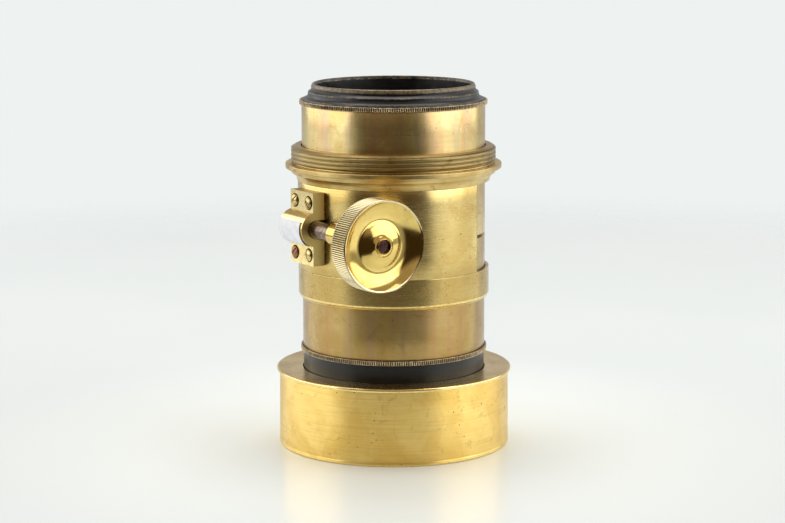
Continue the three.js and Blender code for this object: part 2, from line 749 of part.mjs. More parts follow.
addPart('hood_wall', hoodWall(), brushedBrass());
addPart('hood_plate', hoodPlate(), brushedBrass());
addPart('hood_sleeve', hoodSleeve(), brushedBrass());

lensAssembly.position.z = -SEAT_HEIGHT;
lensAssembly.updateMatrixWorld(true);

export default lensAssembly;
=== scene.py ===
"""Brass portrait lens: the visual model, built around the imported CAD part."""

import json
import math

import bmesh
import bpy
import numpy as np
from mathutils import Matrix, Vector

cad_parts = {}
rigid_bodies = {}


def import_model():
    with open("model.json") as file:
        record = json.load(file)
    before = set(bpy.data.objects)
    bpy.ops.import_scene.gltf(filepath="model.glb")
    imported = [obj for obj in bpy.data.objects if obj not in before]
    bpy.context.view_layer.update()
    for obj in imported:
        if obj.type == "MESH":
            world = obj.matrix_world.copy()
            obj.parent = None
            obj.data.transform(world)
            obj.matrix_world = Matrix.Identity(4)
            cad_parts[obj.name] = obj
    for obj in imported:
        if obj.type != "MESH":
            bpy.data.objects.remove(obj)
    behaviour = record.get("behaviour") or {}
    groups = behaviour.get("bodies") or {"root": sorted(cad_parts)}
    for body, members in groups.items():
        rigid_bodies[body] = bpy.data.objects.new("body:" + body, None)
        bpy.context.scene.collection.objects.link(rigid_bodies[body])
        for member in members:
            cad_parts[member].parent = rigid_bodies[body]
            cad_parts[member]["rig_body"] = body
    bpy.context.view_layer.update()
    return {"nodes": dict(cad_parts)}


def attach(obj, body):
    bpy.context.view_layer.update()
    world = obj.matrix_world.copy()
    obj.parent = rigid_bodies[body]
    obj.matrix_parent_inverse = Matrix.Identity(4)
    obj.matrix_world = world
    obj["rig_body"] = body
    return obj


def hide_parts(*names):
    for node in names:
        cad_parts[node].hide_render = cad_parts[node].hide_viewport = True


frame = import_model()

MM = 0.001

# ---------------------------------------------------------------- driving dimensions, in mm
# Heights are measured up from the edge of the hood; the row frame's origin is at SEAT_HEIGHT.

SEAT_HEIGHT = 91.7
TUBE_RADIUS = 29.5
TUBE_BORE = 28.2
BARREL_BORE = 29.85
BARREL_RADIUS = 30.85

HOOD_RADIUS = 37.4
HOOD_TOP_RADIUS = 37.2
HOOD_BORE = 36.1
HOOD_RIM_RADIUS = 38.1
HOOD_HEIGHT = 25
HOOD_PLATE_BOTTOM = 23.8
SLEEVE_BORE = 29.65
SLEEVE_BOTTOM = 9
SLEEVE_LIP = 2  # how far the lip at the sleeve's lower end reaches inwards
SEAM = 0.05  # between pieces that meet

FRONT_CELL_BOTTOM = 10.3
FRONT_CELL_RADIUS = 29.35
FRONT_KNURL = (30.2, 30.7, 32.2)  # radius, bottom, top
REAR_KNURL = (30.2, 110.6, 112)
SPIGOT_RADIUS = 28
FRONT_SPIGOT_TOP = 40
FRONT_CELL_BORE = 27
FRONT_SEAT = (25, 26)  # bore and height of the ledge that the glass rests on
FRONT_GLASS_RADIUS = 26.6
REAR_CELL_BOTTOM = 96
REAR_CELL_TOP = 117.2
REAR_CELL_BORE = 25.1
REAR_SEAT = (23.6, 97.5)
REAR_GLASS_RADIUS = 24.8
CEMENT_RADIUS = 70  # of the surfaces at which the front glasses are cemented
CELL_KNURL_COUNT = 264
CELL_KNURL_DEPTH = 0.22

BAND_BOTTOM = 48.5
BAND_TOP = 58.1
COLLAR_BOTTOM = 86.2
COLLAR_TOP = 97.4
SHOULDER_RADIUS = 34.8
THREAD_CREST = 32.95
THREAD_DEPTH = 0.32
THREAD_PITCH = 1.34
THREAD_BOTTOM = 92.3
THREAD_FOOT = THREAD_BOTTOM - SEAT_HEIGHT
THREAD_TOP = 97.0
WINDOW_HALF_ANGLE = math.radians(63.4)
STOP_SLOT = (68.5, 69.5, math.radians(60))  # bottom, top, half angle
RACK_SLOT = (53.2, 89.9, 2.6)  # bottom, top, half width
PINION_HOLE = (2.7, 3.4)  # half width, half height
WALL_STEP = math.radians(1.4)  # the longest facet round the tubes

SHAFT_X = -33.2
SHAFT_HEIGHT = 73.1
SHAFT_CENTRE = (SHAFT_X, 0, SHAFT_HEIGHT - SEAT_HEIGHT)
SHAFT_RADIUS = 2.85
SHAFT_END_RADIUS = 2.15
SHAFT_SHOULDER = -17.8
SHAFT_FAR_END = 6.7
PINION_LEAVES = 16
PINION_ROOT = 2.8
PINION_TIP = 4.45
PINION_HALF_LENGTH = 2.3
LEAF_DEPTH = 1.0

BRIDGE_FACE = -34.4
BRIDGE_HALF_WIDTH = 6.9
BRIDGE_HALF_HEIGHT = 11.6
BRIDGE_BOSS_RADIUS = 5.5
BRIDGE_INNER_RADIUS = 31.05
SCREW_ACROSS = 4.15
SCREW_UP = 8.3
SCREW_HEAD_RADIUS = 1.95
SCREW_SLOT_ANGLES = [math.radians(a) for a in (40, -35, 38, -15)]
RUSTY_SCREW = 2  # the third of the four
SCREW_TOP = -35.3
SCREW_RIM = -34.75
SCREW_SHANK = (0.85, 29.9)  # radius, end
SCREW_HEAD_BOTTOM = 33.45
SCREW_SLOT_HALF_WIDTH = 0.24
SHAFT_HOLE_RADIUS = 2.98

LABEL_RADIUS = 5.56
LABEL_THICKNESS = 0.13
LABEL_ENDS = (-5.9, 6.6)  # along the boss
LABEL_ANGLES = (math.radians(-70), math.radians(28))  # round it

KNOB_FACE = -46.5
KNOB_BACK = -38.9
KNOB_RADIUS = 14.2
KNOB_HUB_RADIUS = 3.6
KNOB_HUB_END = -17.9
KNOB_BORE = 2.4
KNOB_CREASE = (7.6, 2.5)  # radius, depth below the rim
KNOB_SHOULDER = (4.5, 1.35)  # the foot of the boss in the middle, and its top
KNOB_BOSS = (3.0, 0.6)
KNOB_RIM_WIDTH = 0.42
KNOB_NECK = ((KNOB_HUB_RADIUS, 32.0), (8.0, 38.2))  # where the hub flares into the back
KNOB_KNURL_COUNT = 130
KNOB_KNURL_DEPTH = 0.4

# ---------------------------------------------------------------- camera

CAMERA_AZIMUTH = math.radians(-32.8)
CAMERA_PITCH = math.radians(9.65)
CAMERA_ROLL = math.radians(-0.1)
CAMERA_DISTANCE = 740.5
CAMERA_HEIGHT = 184.9
CAMERA_ASIDE = -0.36
CAMERA_LENS = 106.1


def place_camera():
    data = bpy.data.cameras.new("camera")
    data.sensor_width = 36
    data.lens = CAMERA_LENS
    data.clip_start = 0.01
    camera = bpy.data.objects.new("camera", data)
    bpy.context.scene.collection.objects.link(camera)
    turn = Matrix.Rotation(CAMERA_AZIMUTH, 4, "Z")
    place = Vector((CAMERA_ASIDE, -CAMERA_DISTANCE, CAMERA_HEIGHT - SEAT_HEIGHT)) * MM
    tilt = Matrix.Rotation(math.pi / 2 - CAMERA_PITCH, 4, "X") @ Matrix.Rotation(CAMERA_ROLL, 4, "Z")
    camera.matrix_world = turn @ Matrix.Translation(place) @ tilt
    bpy.context.scene.camera = camera


place_camera()

# ---------------------------------------------------------------- profiles


def arc_between(start, end, bulge, steps=8):
    """Points after start, up to end, on an arc that bulges to the left of its direction."""
    chord = math.dist(start, end)
    radius = chord * chord / (8 * bulge) + bulge / 2
    half = math.asin(chord / 2 / abs(radius))
    if abs(bulge) > chord / 2:
        half = math.pi - half
    along = ((end[0] - start[0]) / chord, (end[1] - start[1]) / chord)
    left = (-along[1], along[0])
    points = []
    for step in range(1, steps + 1):
        turn = half * (2 * step / steps - 1)
        forward = chord / 2 + abs(radius) * math.sin(turn)
        side = bulge - radius * (1 - math.cos(turn))
        points.append(tuple(start[i] + along[i] * forward + left[i] * side for i in (0, 1)))
    return points


def plain(points):
    """The same points with a third value of 0: no fillet, or no edge."""
    return [(*point, 0) for point in points]


def soften(profile, fillet=0.12, steps=3, guard=0.3):
    """Rounds the corners of a closed anticlockwise profile of (radius, height[, fillet]).

    Gives (radius, height, edge) points, where edge is 1 on an outer corner and -1 in an inner one.
    """
    points = []
    count = len(profile)
    for i, corner in enumerate(profile):
        here = np.array(corner[:2], float)
        back = np.array(profile[i - 1][:2], float) - here
        ahead = np.array(profile[(i + 1) % count][:2], float) - here
        back_length, ahead_length = np.linalg.norm(back), np.linalg.norm(ahead)
        bend = -(back[0] * ahead[1] - back[1] * ahead[0]) / (back_length * ahead_length)
        straight = -back.dot(ahead) / (back_length * ahead_length)
        angle = math.atan2(bend, straight)
        size = corner[2] if len(corner) > 2 else fillet
        if abs(angle) < math.radians(18) or size == 0:
            points.append((*here, 0))
            continue
        cut = min(size, 0.4 * back_length, 0.4 * ahead_length)
        start = here + back / back_length * cut
        end = here + ahead / ahead_length * cut
        edge = 1 if angle > 0 else -1
        points.append((*(here + back / back_length * min(cut + guard, 0.48 * back_length)), 0))
        for step in range(steps + 1):
            t = step / steps
            points.append((*((1 - t) ** 2 * start + 2 * t * (1 - t) * here + t * t * end), edge))
        points.append((*(here + ahead / ahead_length * min(cut + guard, 0.48 * ahead_length)), 0))
    return points


def stepped(profile, longest):
    """Adds points so that no stretch of a softened profile is longer than longest."""
    points = []
    for i, (r0, h0, e0) in enumerate(profile):
        r1, h1, e1 = profile[(i + 1) % len(profile)]
        count = max(1, math.ceil(math.hypot(r1 - r0, h1 - h0) / longest))
        for k in range(count):
            t = k / count
            points.append((r0 + (r1 - r0) * t, h0 + (h1 - h0) * t, e0 if k == 0 else 0))
    return points


# ---------------------------------------------------------------- mesh building


class Builder:
    """Collects closed shells, in mm above the hood's edge, and makes one object of them."""

    def __init__(self):
        self.points = []
        self.edges = []
        self.faces = []
        self.count = 0

    def add(self, points, edges, faces):
        self.points.append(np.asarray(points, float).reshape(-1, 3))
        self.edges.append(np.asarray(edges, float).reshape(-1))
        self.faces.extend(tuple(int(v) + self.count for v in face) for face in faces)
        self.count += len(self.points[-1])

    def turned(self, profile, segments=256, relief=None):
        """A closed profile turned about the optical axis; relief(angle, r, h) moves points in or out."""
        r, h, e = (np.array(column) for column in zip(*profile))
        rows = len(r)
        angle = np.arange(segments) * 2 * math.pi / segments
        a, rr = np.meshgrid(angle, r, indexing="ij")
        hh = np.tile(h, (segments, 1))
        ee = np.tile(e, (segments, 1)).astype(float)
        if relief:
            rr, ee = relief(a, rr, hh, ee)
        points = np.stack([rr * np.cos(a), rr * np.sin(a), hh], -1)
        i, j = np.meshgrid(np.arange(segments), np.arange(rows), indexing="ij")
        i2, j2 = (i + 1) % segments, (j + 1) % rows
        faces = np.stack([i * rows + j, i2 * rows + j, i2 * rows + j2, i * rows + j2], -1)
        self.add(points, ee, faces.reshape(-1, 4))
        return self

    def disc(self, surface, segments=128, rings=20):
        """A closed lens: surface(r) gives (front height, back height) out to its edge radius."""
        edge, heights = surface
        radii = edge * np.sin(np.linspace(0, math.pi / 2, rings + 1))[1:]
        angle = np.arange(segments) * 2 * math.pi / segments
        front0, back0 = heights(0.0)
        points = [(0, 0, front0), (0, 0, back0)]
        faces = []
        for side in (0, 1):
            base = len(points)
            for r in radii:
                h = heights(r)[side]
                points += [(r * math.cos(a), r * math.sin(a), h) for a in angle]
            for k in range(segments):
                k2 = (k + 1) % segments
                fan = (side, base + k, base + k2)
                faces.append(fan if side else fan[::-1])
                for ring in range(rings - 1):
                    low, high = base + ring * segments, base + (ring + 1) * segments
                    quad = (low + k, high + k, high + k2, low + k2)
                    faces.append(quad if side else quad[::-1])
        front_edge, back_edge = 2 + (rings - 1) * segments, 2 + (2 * rings - 1) * segments
        for k in range(segments):
            k2 = (k + 1) % segments
            faces.append((front_edge + k, front_edge + k2, back_edge + k2, back_edge + k))
        self.add(points, np.zeros(len(points)), faces)
        return self

    def wall(self, inner, outer, angles, heights, is_open):
        """A tube wall of cells; the cells that is_open(angle, height) names are left out."""
        columns, rows = len(angles), len(heights) - 1
        key = {}
        points, faces = [], []

        def corner(layer, column, row):
            place = (layer, column % columns, row)
            if place not in key:
                key[place] = len(points)
                r = (inner, outer)[layer]
                a = angles[column % columns]
                points.append((r * math.cos(a), r * math.sin(a), heights[row]))
            return key[place]

        def middle(column):
            a0 = angles[column % columns]
            a1 = angles[(column + 1) % columns]
            if a1 < a0:
                a1 += 2 * math.pi
            return (a0 + a1) / 2

        def solid(column, row):
            if not 0 <= row < rows:
                return False
            return not is_open(middle(column % columns), (heights[row] + heights[row + 1]) / 2)

        for c in range(columns):
            for r in range(rows):
                if not solid(c, r):
                    continue
                near = [corner(0, c, r), corner(0, c + 1, r), corner(0, c + 1, r + 1), corner(0, c, r + 1)]
                far = [corner(1, c, r), corner(1, c + 1, r), corner(1, c + 1, r + 1), corner(1, c, r + 1)]
                faces.append(tuple(far))
                faces.append(tuple(reversed(near)))
                if not solid(c, r - 1):
                    faces.append((near[0], near[1], far[1], far[0]))
                if not solid(c, r + 1):
                    faces.append((far[3], far[2], near[2], near[3]))
                if not solid(c - 1, r):
                    faces.append((near[0], far[0], far[3], near[3]))
                if not solid(c + 1, r):
                    faces.append((far[1], near[1], near[2], far[2]))
        self.add(points, np.zeros(len(points)), faces)
        return self

    def to_shaft(self):
        """Turns what was built about the optical axis onto the pinion shaft: height h becomes Y = -h."""
        for points in self.points:
            x, y, z = points.T.copy()
            points[:, 0] = x + SHAFT_X
            points[:, 1] = -z
            points[:, 2] = y + SHAFT_HEIGHT
        return self

    def mesh(self, name):
        data = bpy.data.meshes.new(name)
        points = np.concatenate(self.points)
        points[:, 2] -= SEAT_HEIGHT
        data.from_pydata((points * MM).tolist(), [], self.faces)
        edge = data.attributes.new("edge", "FLOAT", "POINT")
        edge.data.foreach_set("value", np.concatenate(self.edges).astype(np.float32))
        data.validate()
        data.update()
        return data


def finish_piece(data, name, node, material, sharp=30, bevel=0, centre=(0, 0, 0)):
    """Makes the object, lets it ride and stand for its CAD node, and shades it."""
    piece = bpy.data.objects.new(name, data)
    bpy.context.scene.collection.objects.link(piece)
    if bevel:
        modifier = piece.modifiers.new("bevel", "BEVEL")
        modifier.width = bevel * MM
        modifier.segments = 2
        modifier.limit_method = "ANGLE"
        modifier.angle_limit = math.radians(40)
        bake_modifiers(piece)
    data = piece.data
    data.polygons.foreach_set("use_smooth", [True] * len(data.polygons))
    data.set_sharp_from_angle(angle=math.radians(sharp))
    data.materials.clear()
    data.materials.append(material)
    set_texture_space(data, centre)
    cad = frame["nodes"][node]
    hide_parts(node)
    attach(piece, cad["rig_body"])
    return piece


def turned_piece(node, material, profile, segments=256, relief=None, name=None, **finish):
    """One closed profile turned about the optical axis, in the place of its node."""
    name = name or node + "_turned"
    data = Builder().turned(profile, segments, relief).mesh(name)
    finish_piece(data, name, node, material, **finish)


def set_texture_space(data, centre):
    """Centres the generated coordinates on the axis that a piece was turned about."""
    data.use_auto_texspace = False
    data.texspace_location = Vector(centre) * MM
    data.texspace_size = (0.05, 0.05, 0.05)


def bake_modifiers(piece):
    bpy.context.view_layer.update()
    graph = bpy.context.evaluated_depsgraph_get()
    data = bpy.data.meshes.new_from_object(piece.evaluated_get(graph))
    piece.modifiers.clear()
    piece.data = data


def temporary(name, build):
    """A scratch object for a boolean, made by build(bmesh) in mm above the hood's edge."""
    work = bmesh.new()
    build(work)
    bmesh.ops.translate(work, verts=work.verts, vec=(0, 0, -SEAT_HEIGHT))
    bmesh.ops.scale(work, verts=work.verts, vec=(MM, MM, MM))
    bmesh.ops.recalc_face_normals(work, faces=work.faces)
    data = bpy.data.meshes.new(name)
    work.to_mesh(data)
    work.free()
    piece = bpy.data.objects.new(name, data)
    bpy.context.scene.collection.objects.link(piece)
    return piece


def block(low, high):
    def build(work):
        made = bmesh.ops.create_cube(work, size=1)["verts"]
        size = [h - l for l, h in zip(low, high)]
        middle = [(h + l) / 2 for l, h in zip(low, high)]
        bmesh.ops.scale(work, verts=made, vec=size)
        bmesh.ops.translate(work, verts=made, vec=middle)

    return temporary("block", build)


def bar(axis, radius, low, high, at, segments=96):
    """A round bar along axis X, Y or Z from low to high, at the other two coordinates."""

    def build(work):
        made = bmesh.ops.create_cone(
            work,
            cap_ends=True,
            segments=segments,
            radius1=radius,
            radius2=radius,
            depth=high - low,
        )["verts"]
        middle = (low + high) / 2
        turn = {
            "X": Matrix.Rotation(math.pi / 2, 3, "Y"),
            "Y": Matrix.Rotation(-math.pi / 2, 3, "X"),
            "Z": Matrix.Identity(3),
        }[axis]
        place = {"X": (middle, *at), "Y": (at[0], middle, at[1]), "Z": (*at, middle)}[axis]
        bmesh.ops.rotate(work, verts=made, matrix=turn, cent=(0, 0, 0))
        bmesh.ops.translate(work, verts=made, vec=place)

    return temporary("bar", build)


def combined(first, *steps):
    """Applies booleans to first: each step is (operation, object)."""
    for operation, other in steps:
        modifier = first.modifiers.new("boolean", "BOOLEAN")
        modifier.operation = operation
        modifier.solver = "EXACT"
        modifier.object = other
    bake_modifiers(first)
    for _, other in steps:
        bpy.data.objects.remove(other)
    data = first.data
    bpy.data.objects.remove(first)
    return data


# ---------------------------------------------------------------- shader nodes


class Shader:
    """A material with short names for the nodes that the finishes share."""

    def __init__(self, name):
        self.material = bpy.data.materials.new(name)
        self.material.use_nodes = True
        self.tree = self.material.node_tree
        self.tree.nodes.clear()
        self.output = self.node("ShaderNodeOutputMaterial")
        self.bsdf = self.node("ShaderNodeBsdfPrincipled")
        self.link(self.bsdf.outputs[0], self.output.inputs["Surface"])
        self.coordinates = self.node("ShaderNodeTexCoord")
        self.place = self.coordinates.outputs["Object"]

    def node(self, kind, **settings):
        made = self.tree.nodes.new(kind)
        for key, value in settings.items():
            setattr(made, key, value)
        return made

    def link(self, source, target):
        self.tree.links.new(source, target)

    def put(self, socket, value):
        if isinstance(value, bpy.types.NodeSocket):
            self.link(value, socket)
        elif isinstance(value, (tuple, list)) and len(value) == 3 and socket.type == "RGBA":
            socket.default_value = (*value, 1)
        else:
            socket.default_value = value

    def math(self, operation, a, b=0.0, clamp=False):
        made = self.node("ShaderNodeMath", operation=operation, use_clamp=clamp)
        self.put(made.inputs[0], a)
        self.put(made.inputs[1], b)
        return made.outputs[0]

    def plus(self, a, b):
        return self.math("ADD", a, b)

    def minus(self, a, b, clamp=False):
        return self.math("SUBTRACT", a, b, clamp)

    def times(self, a, b, clamp=False):
        return self.math("MULTIPLY", a, b, clamp)

    def length(self, a, b):
        return self.math("SQRT", self.plus(self.math("POWER", a, 2), self.math("POWER", b, 2)))

    def split(self, vector):
        made = self.node("ShaderNodeSeparateXYZ")
        self.link(vector, made.inputs[0])
        return made.outputs

    def drawn(self, a, b, along, across_scale, along_scale):
        """A place in which noise is drawn out into lines round the axis."""
        across = self.times(a, across_scale), self.times(b, across_scale)
        return self.joined(*across, self.times(along, along_scale))

    def scaled(self, vector, scale, offset=(0, 0, 0)):
        made = self.node("ShaderNodeMapping")
        self.put(made.inputs["Vector"], vector)
        made.inputs["Scale"].default_value = scale if isinstance(scale, tuple) else (scale,) * 3
        made.inputs["Location"].default_value = offset
        return made.outputs[0]

    def noise(self, vector, scale, detail=3.0, roughness=0.5, distortion=0.0):
        made = self.node("ShaderNodeTexNoise")
        self.put(made.inputs["Vector"], vector)
        made.inputs["Scale"].default_value = scale
        made.inputs["Detail"].default_value = detail
        made.inputs["Roughness"].default_value = roughness
        made.inputs["Distortion"].default_value = distortion
        return made.outputs["Fac"]

    def cells(self, vector, scale):
        made = self.node("ShaderNodeTexVoronoi")
        self.put(made.inputs["Vector"], vector)
        made.inputs["Scale"].default_value = scale
        return made.outputs["Distance"]

    def spread(self, value, low, high, out_low=0.0, out_high=1.0):
        made = self.node("ShaderNodeMapRange", interpolation_type="SMOOTHSTEP")
        self.put(made.inputs["Value"], value)
        made.inputs["From Min"].default_value = low
        made.inputs["From Max"].default_value = high
        made.inputs["To Min"].default_value = out_low
        made.inputs["To Max"].default_value = out_high
        return made.outputs["Result"]

    def mix(self, factor, a, b):
        made = self.node("ShaderNodeMix", data_type="RGBA")
        self.put(made.inputs["Factor"], factor)
        self.put(made.inputs["A"], a)
        self.put(made.inputs["B"], b)
        return made.outputs["Result"]

    def attribute(self, name):
        return self.node("ShaderNodeAttribute", attribute_name=name).outputs["Fac"]

    def axis_parts(self, centre=(0, 0, 0), axis="Z"):
        """Coordinates in mm: across 1, across 2, along the axis, and the distance from it."""
        parts = self.split(self.scaled(self.place, 1 / MM, tuple(-c for c in centre)))
        a, b, along = (parts[k] for k in {"Z": (0, 1, 2), "Y": (0, 2, 1)}[axis])
        return a, b, along, self.length(a, b)

    def joined(self, a, b, c):
        made = self.node("ShaderNodeCombineXYZ")
        for socket, value in zip(made.inputs, (a, b, c)):
            self.put(socket, value)
        return made.outputs[0]

    def bump(self, height, strength, distance):
        made = self.node("ShaderNodeBump")
        made.inputs["Strength"].default_value = strength
        made.inputs["Distance"].default_value = distance * MM
        self.put(made.inputs["Height"], height)
        return made.outputs[0]

    def brushed(self, amount, axis="Z"):
        """Stretches the gloss across the turning marks."""
        self.bsdf.inputs["Anisotropic"].default_value = amount
        self.bsdf.inputs["Anisotropic Rotation"].default_value = 0.25
        tangent = self.node("ShaderNodeTangent", direction_type="RADIAL", axis=axis)
        self.link(tangent.outputs[0], self.bsdf.inputs["Tangent"])

    def set(self, **values):
        for key, value in values.items():
            self.put(self.bsdf.inputs[key.replace("_", " ").title().replace("Ior", "IOR")], value)


def srgb(r, g, b):
    """A colour given by its 8-bit values, made linear."""
    return tuple(((c / 255 + 0.055) / 1.055) ** 2.4 if c > 10 else c / 255 / 12.92 for c in (r, g, b))


def brass(
    name,
    light,
    dark,
    stain=srgb(92, 60, 30),
    stain_amount=0.35,
    tint=None,
    tint_amount=0.0,
    roughness=0.3,
    brushing=0.6,
    line_strength=0.12,
    fine_marks=0.22,
    scratched=0.3,
    spots=0.5,
    grime_and_shade=srgb(48, 34, 20),
    edge_wear_and_highlight=srgb(250, 225, 150),
    centre=(0, 0, 0),
    axis="Z",
    seed=0.0,
    edge_gloss=0.1,
    tone_by_height=None,
    painted_side_shade=None,
    rim=None,
):
    """Turned brass: tone patches, turning lines, brown stains, dark pits, dirt with painted shade in inner
    corners and grooves, rubbed edges with a painted highlight, and painted shade on side faces where asked.
    """
    s = Shader(name)
    a, b, along, distance = s.axis_parts(centre, axis)
    shift = s.plus(along, seed)
    round_place = s.joined(a, b, shift)
    run = s.plus(shift, s.times(distance, 1.31))
    fine = s.noise(s.drawn(a, b, run, 0.05, 3.2), 1.0, 4, 0.65)
    broad = s.noise(s.drawn(a, b, run, 0.04, 0.8), 1.0, 3, 0.55)
    patches = s.noise(round_place, 0.075, 4, 0.6, 0.6)
    blotches = s.noise(s.scaled(round_place, 1.0, (31, 7, 3)), 0.19, 5, 0.62, 0.9)

    tone = s.mix(s.spread(patches, 0.34, 0.68), light, dark)
    tone = s.mix(s.spread(broad, 0.42, 0.72, 0.0, 0.35), tone, dark)
    tone = s.mix(s.spread(fine, 0.45, 0.75, 0.0, fine_marks), tone, stain)
    if tint:
        for k, colour in enumerate(tint):
            veil_place = s.drawn(a, b, shift, 0.22, 0.02)
            veil = s.noise(s.scaled(veil_place, 1.0, (11.0 * k, 5.0 * k, 3.0)), 1.0, 3, 0.5, 0.7)
            tone = s.mix(s.spread(veil, 0.5, 0.68, 0.0, tint_amount), tone, colour)
    # A second tone mixed in by height (low, high, amount, colour): in full at low and beyond it, fading out
    # by high.
    if tone_by_height:
        tone = s.mix(s.spread(along, *tone_by_height[:2], tone_by_height[2], 0.0), tone, tone_by_height[3])
    gloss_loss = 0.0
    # Faces that do not look along X, such as the bridge's sides, take a darker and rougher tone: painted
    # shade.
    if painted_side_shade:
        facing = s.split(s.coordinates.outputs["Normal"])
        side = s.spread(s.math("ABSOLUTE", facing[0]), 0.35, 0.85, 1.0, 0.0)
        tone = s.mix(side, tone, painted_side_shade)
        gloss_loss = s.times(side, 0.16)
    if rim:
        tone = s.mix(s.spread(distance, *rim[:2]), tone, rim[2])
    worn = s.spread(blotches, 0.56, 0.72, 0.0, stain_amount)
    tone = s.mix(worn, tone, stain)
    pit_cells = s.cells(s.scaled(round_place, 1.0, (2, 9, 4)), 0.42)
    pit_gate = s.noise(s.scaled(round_place, 1.0, (5, 1, 8)), 0.11, 2, 0.5)
    pits = s.times(
        s.spread(pit_cells, 0.05, 0.16, 1.0, 0.0),
        s.spread(pit_gate, 0.5, 0.62, 0.0, spots),
    )
    tone = s.mix(pits, tone, grime_and_shade)
    contour = s.noise(s.scaled(round_place, (0.11, 0.11, 0.07), (6, 2, 9)), 1.0, 1.5, 0.4)
    scratch_gate = s.noise(s.scaled(round_place, 1.0, (1, 8, 2)), 0.13, 2, 0.5)
    scratch = s.times(
        s.spread(s.math("ABSOLUTE", s.minus(contour, 0.5)), 0.0005, 0.0035, 1.0, 0.0),
        s.spread(scratch_gate, 0.5, 0.58, 0.0, scratched),
    )
    tone = s.mix(scratch, tone, stain)
    edge = s.attribute("edge")
    chips = s.noise(s.scaled(round_place, 1.0, (7, 7, 7)), 0.9, 3, 0.6)
    # Outer edges and knurl tops lighten in patches: rubbed brass together with a painted highlight.
    outer = s.times(s.spread(edge, 0.2, 1.0), s.spread(chips, 0.3, 0.6, 0.35, 0.9))
    # Inner corners, grooves, knurl gaps and screw-head sides darken: dirt together with painted shade.
    corner = s.spread(s.times(edge, -1), 0.1, 0.9)
    inner = s.times(corner, s.spread(chips, 0.3, 0.6, 0.5, 0.95))
    tone = s.mix(outer, tone, edge_wear_and_highlight)
    tone = s.mix(inner, tone, grime_and_shade)

    gloss = s.spread(fine, 0.3, 0.8, roughness * 0.94, roughness * 1.12)
    gloss = s.plus(gloss, s.times(worn, 0.25))
    gloss = s.plus(gloss, s.times(pits, 0.3))
    gloss = s.plus(gloss, gloss_loss)
    gloss = s.plus(gloss, s.times(inner, 0.25))
    gloss = s.minus(gloss, s.times(outer, edge_gloss), clamp=True)
    height = s.plus(fine, s.times(broad, 0.6))
    height = s.minus(height, s.times(pits, 0.8))
    s.set(base_color=tone, metallic=1.0, roughness=gloss, normal=s.bump(height, line_strength, 0.05))
    if brushing:
        s.brushed(brushing, axis)
    return s.material


def black_lacquer(name, wear=0.4, seed=0.0):
    """Black lacquer over brass, rubbed through to brown brass on the outer edges."""
    s = Shader(name)
    a, b, along, distance = s.axis_parts()
    round_place = s.joined(a, b, s.plus(along, seed))
    patches = s.noise(round_place, 0.16, 5, 0.65, 0.8)
    streaks = s.noise(s.drawn(a, b, s.plus(along, distance), 0.08, 2.4), 1.0, 3, 0.6)
    chips = s.noise(round_place, 1.1, 4, 0.7)
    bare = s.noise(s.scaled(round_place, 1.0, (13, 2, 6)), 0.35, 4, 0.65)
    edge = s.spread(s.attribute("edge"), 0.1, 1.0)
    thin = s.spread(s.plus(bare, s.times(chips, 0.5)), 0.6, 0.95)
    rubbed = s.times(edge, thin)
    rubbed = s.times(rubbed, wear, clamp=True)
    gone = s.spread(s.attribute("edge"), 1.1, 1.7)
    gone = s.times(gone, s.spread(bare, 0.25, 0.45, 0.6, 1.0))
    rubbed = s.math("MAXIMUM", rubbed, gone)
    ground = s.mix(s.spread(patches, 0.35, 0.7), srgb(12, 14, 15), srgb(23, 26, 27))
    ground = s.mix(s.spread(streaks, 0.5, 0.8, 0.0, 0.5), ground, srgb(52, 44, 36))
    metal = s.mix(s.spread(chips, 0.35, 0.65), srgb(140, 118, 86), srgb(204, 184, 146))
    colour = s.mix(rubbed, ground, metal)
    gloss = s.spread(patches, 0.3, 0.7, 0.28, 0.42)
    gloss = s.plus(gloss, s.times(rubbed, 0.06))
    height = s.minus(s.times(chips, 0.5), rubbed)
    s.set(base_color=colour, metallic=rubbed, roughness=gloss, normal=s.bump(height, 0.15, 0.06))
    s.set(specular_ior_level=0.35, coat_weight=0.15, coat_roughness=0.25)
    return s.material


def dark_steel(name):
    """Darkened steel with marks along the shaft and a patchy bloom."""
    s = Shader(name)
    a, b, along, _ = s.axis_parts(SHAFT_CENTRE, "Y")
    place = s.joined(a, b, along)
    rub = s.noise(s.joined(a, b, s.times(along, 0.15)), 1.4, 4, 0.6)
    bloom = s.noise(place, 0.35, 4, 0.6, 0.6)
    rust = s.noise(s.scaled(place, 1.0, (4, 4, 4)), 0.8, 5, 0.7)
    colour = s.mix(s.spread(bloom, 0.35, 0.65), srgb(98, 80, 68), srgb(140, 124, 108))
    colour = s.mix(s.spread(rub, 0.5, 0.75, 0.0, 0.6), colour, srgb(172, 158, 144))
    colour = s.mix(s.spread(rust, 0.5, 0.68, 0.0, 0.7), colour, srgb(70, 40, 34))
    colour = s.mix(s.spread(along, KNOB_FACE + 1, KNOB_FACE + 6, 0.85, 0.0), colour, srgb(66, 40, 40))
    s.set(
        base_color=colour,
        metallic=1.0,
        roughness=s.spread(rub, 0.3, 0.7, 0.18, 0.34),
        normal=s.bump(rub, 0.15, 0.05),
    )
    return s.material


def optical_glass(name, tone):
    s = Shader(name)
    haze = s.noise(s.scaled(s.place, 1 / MM), 0.12, 4, 0.6)
    s.set(base_color=tone, roughness=s.spread(haze, 0.4, 0.7, 0.01, 0.06))
    s.set(transmission_weight=1.0, ior=1.53)
    return s.material


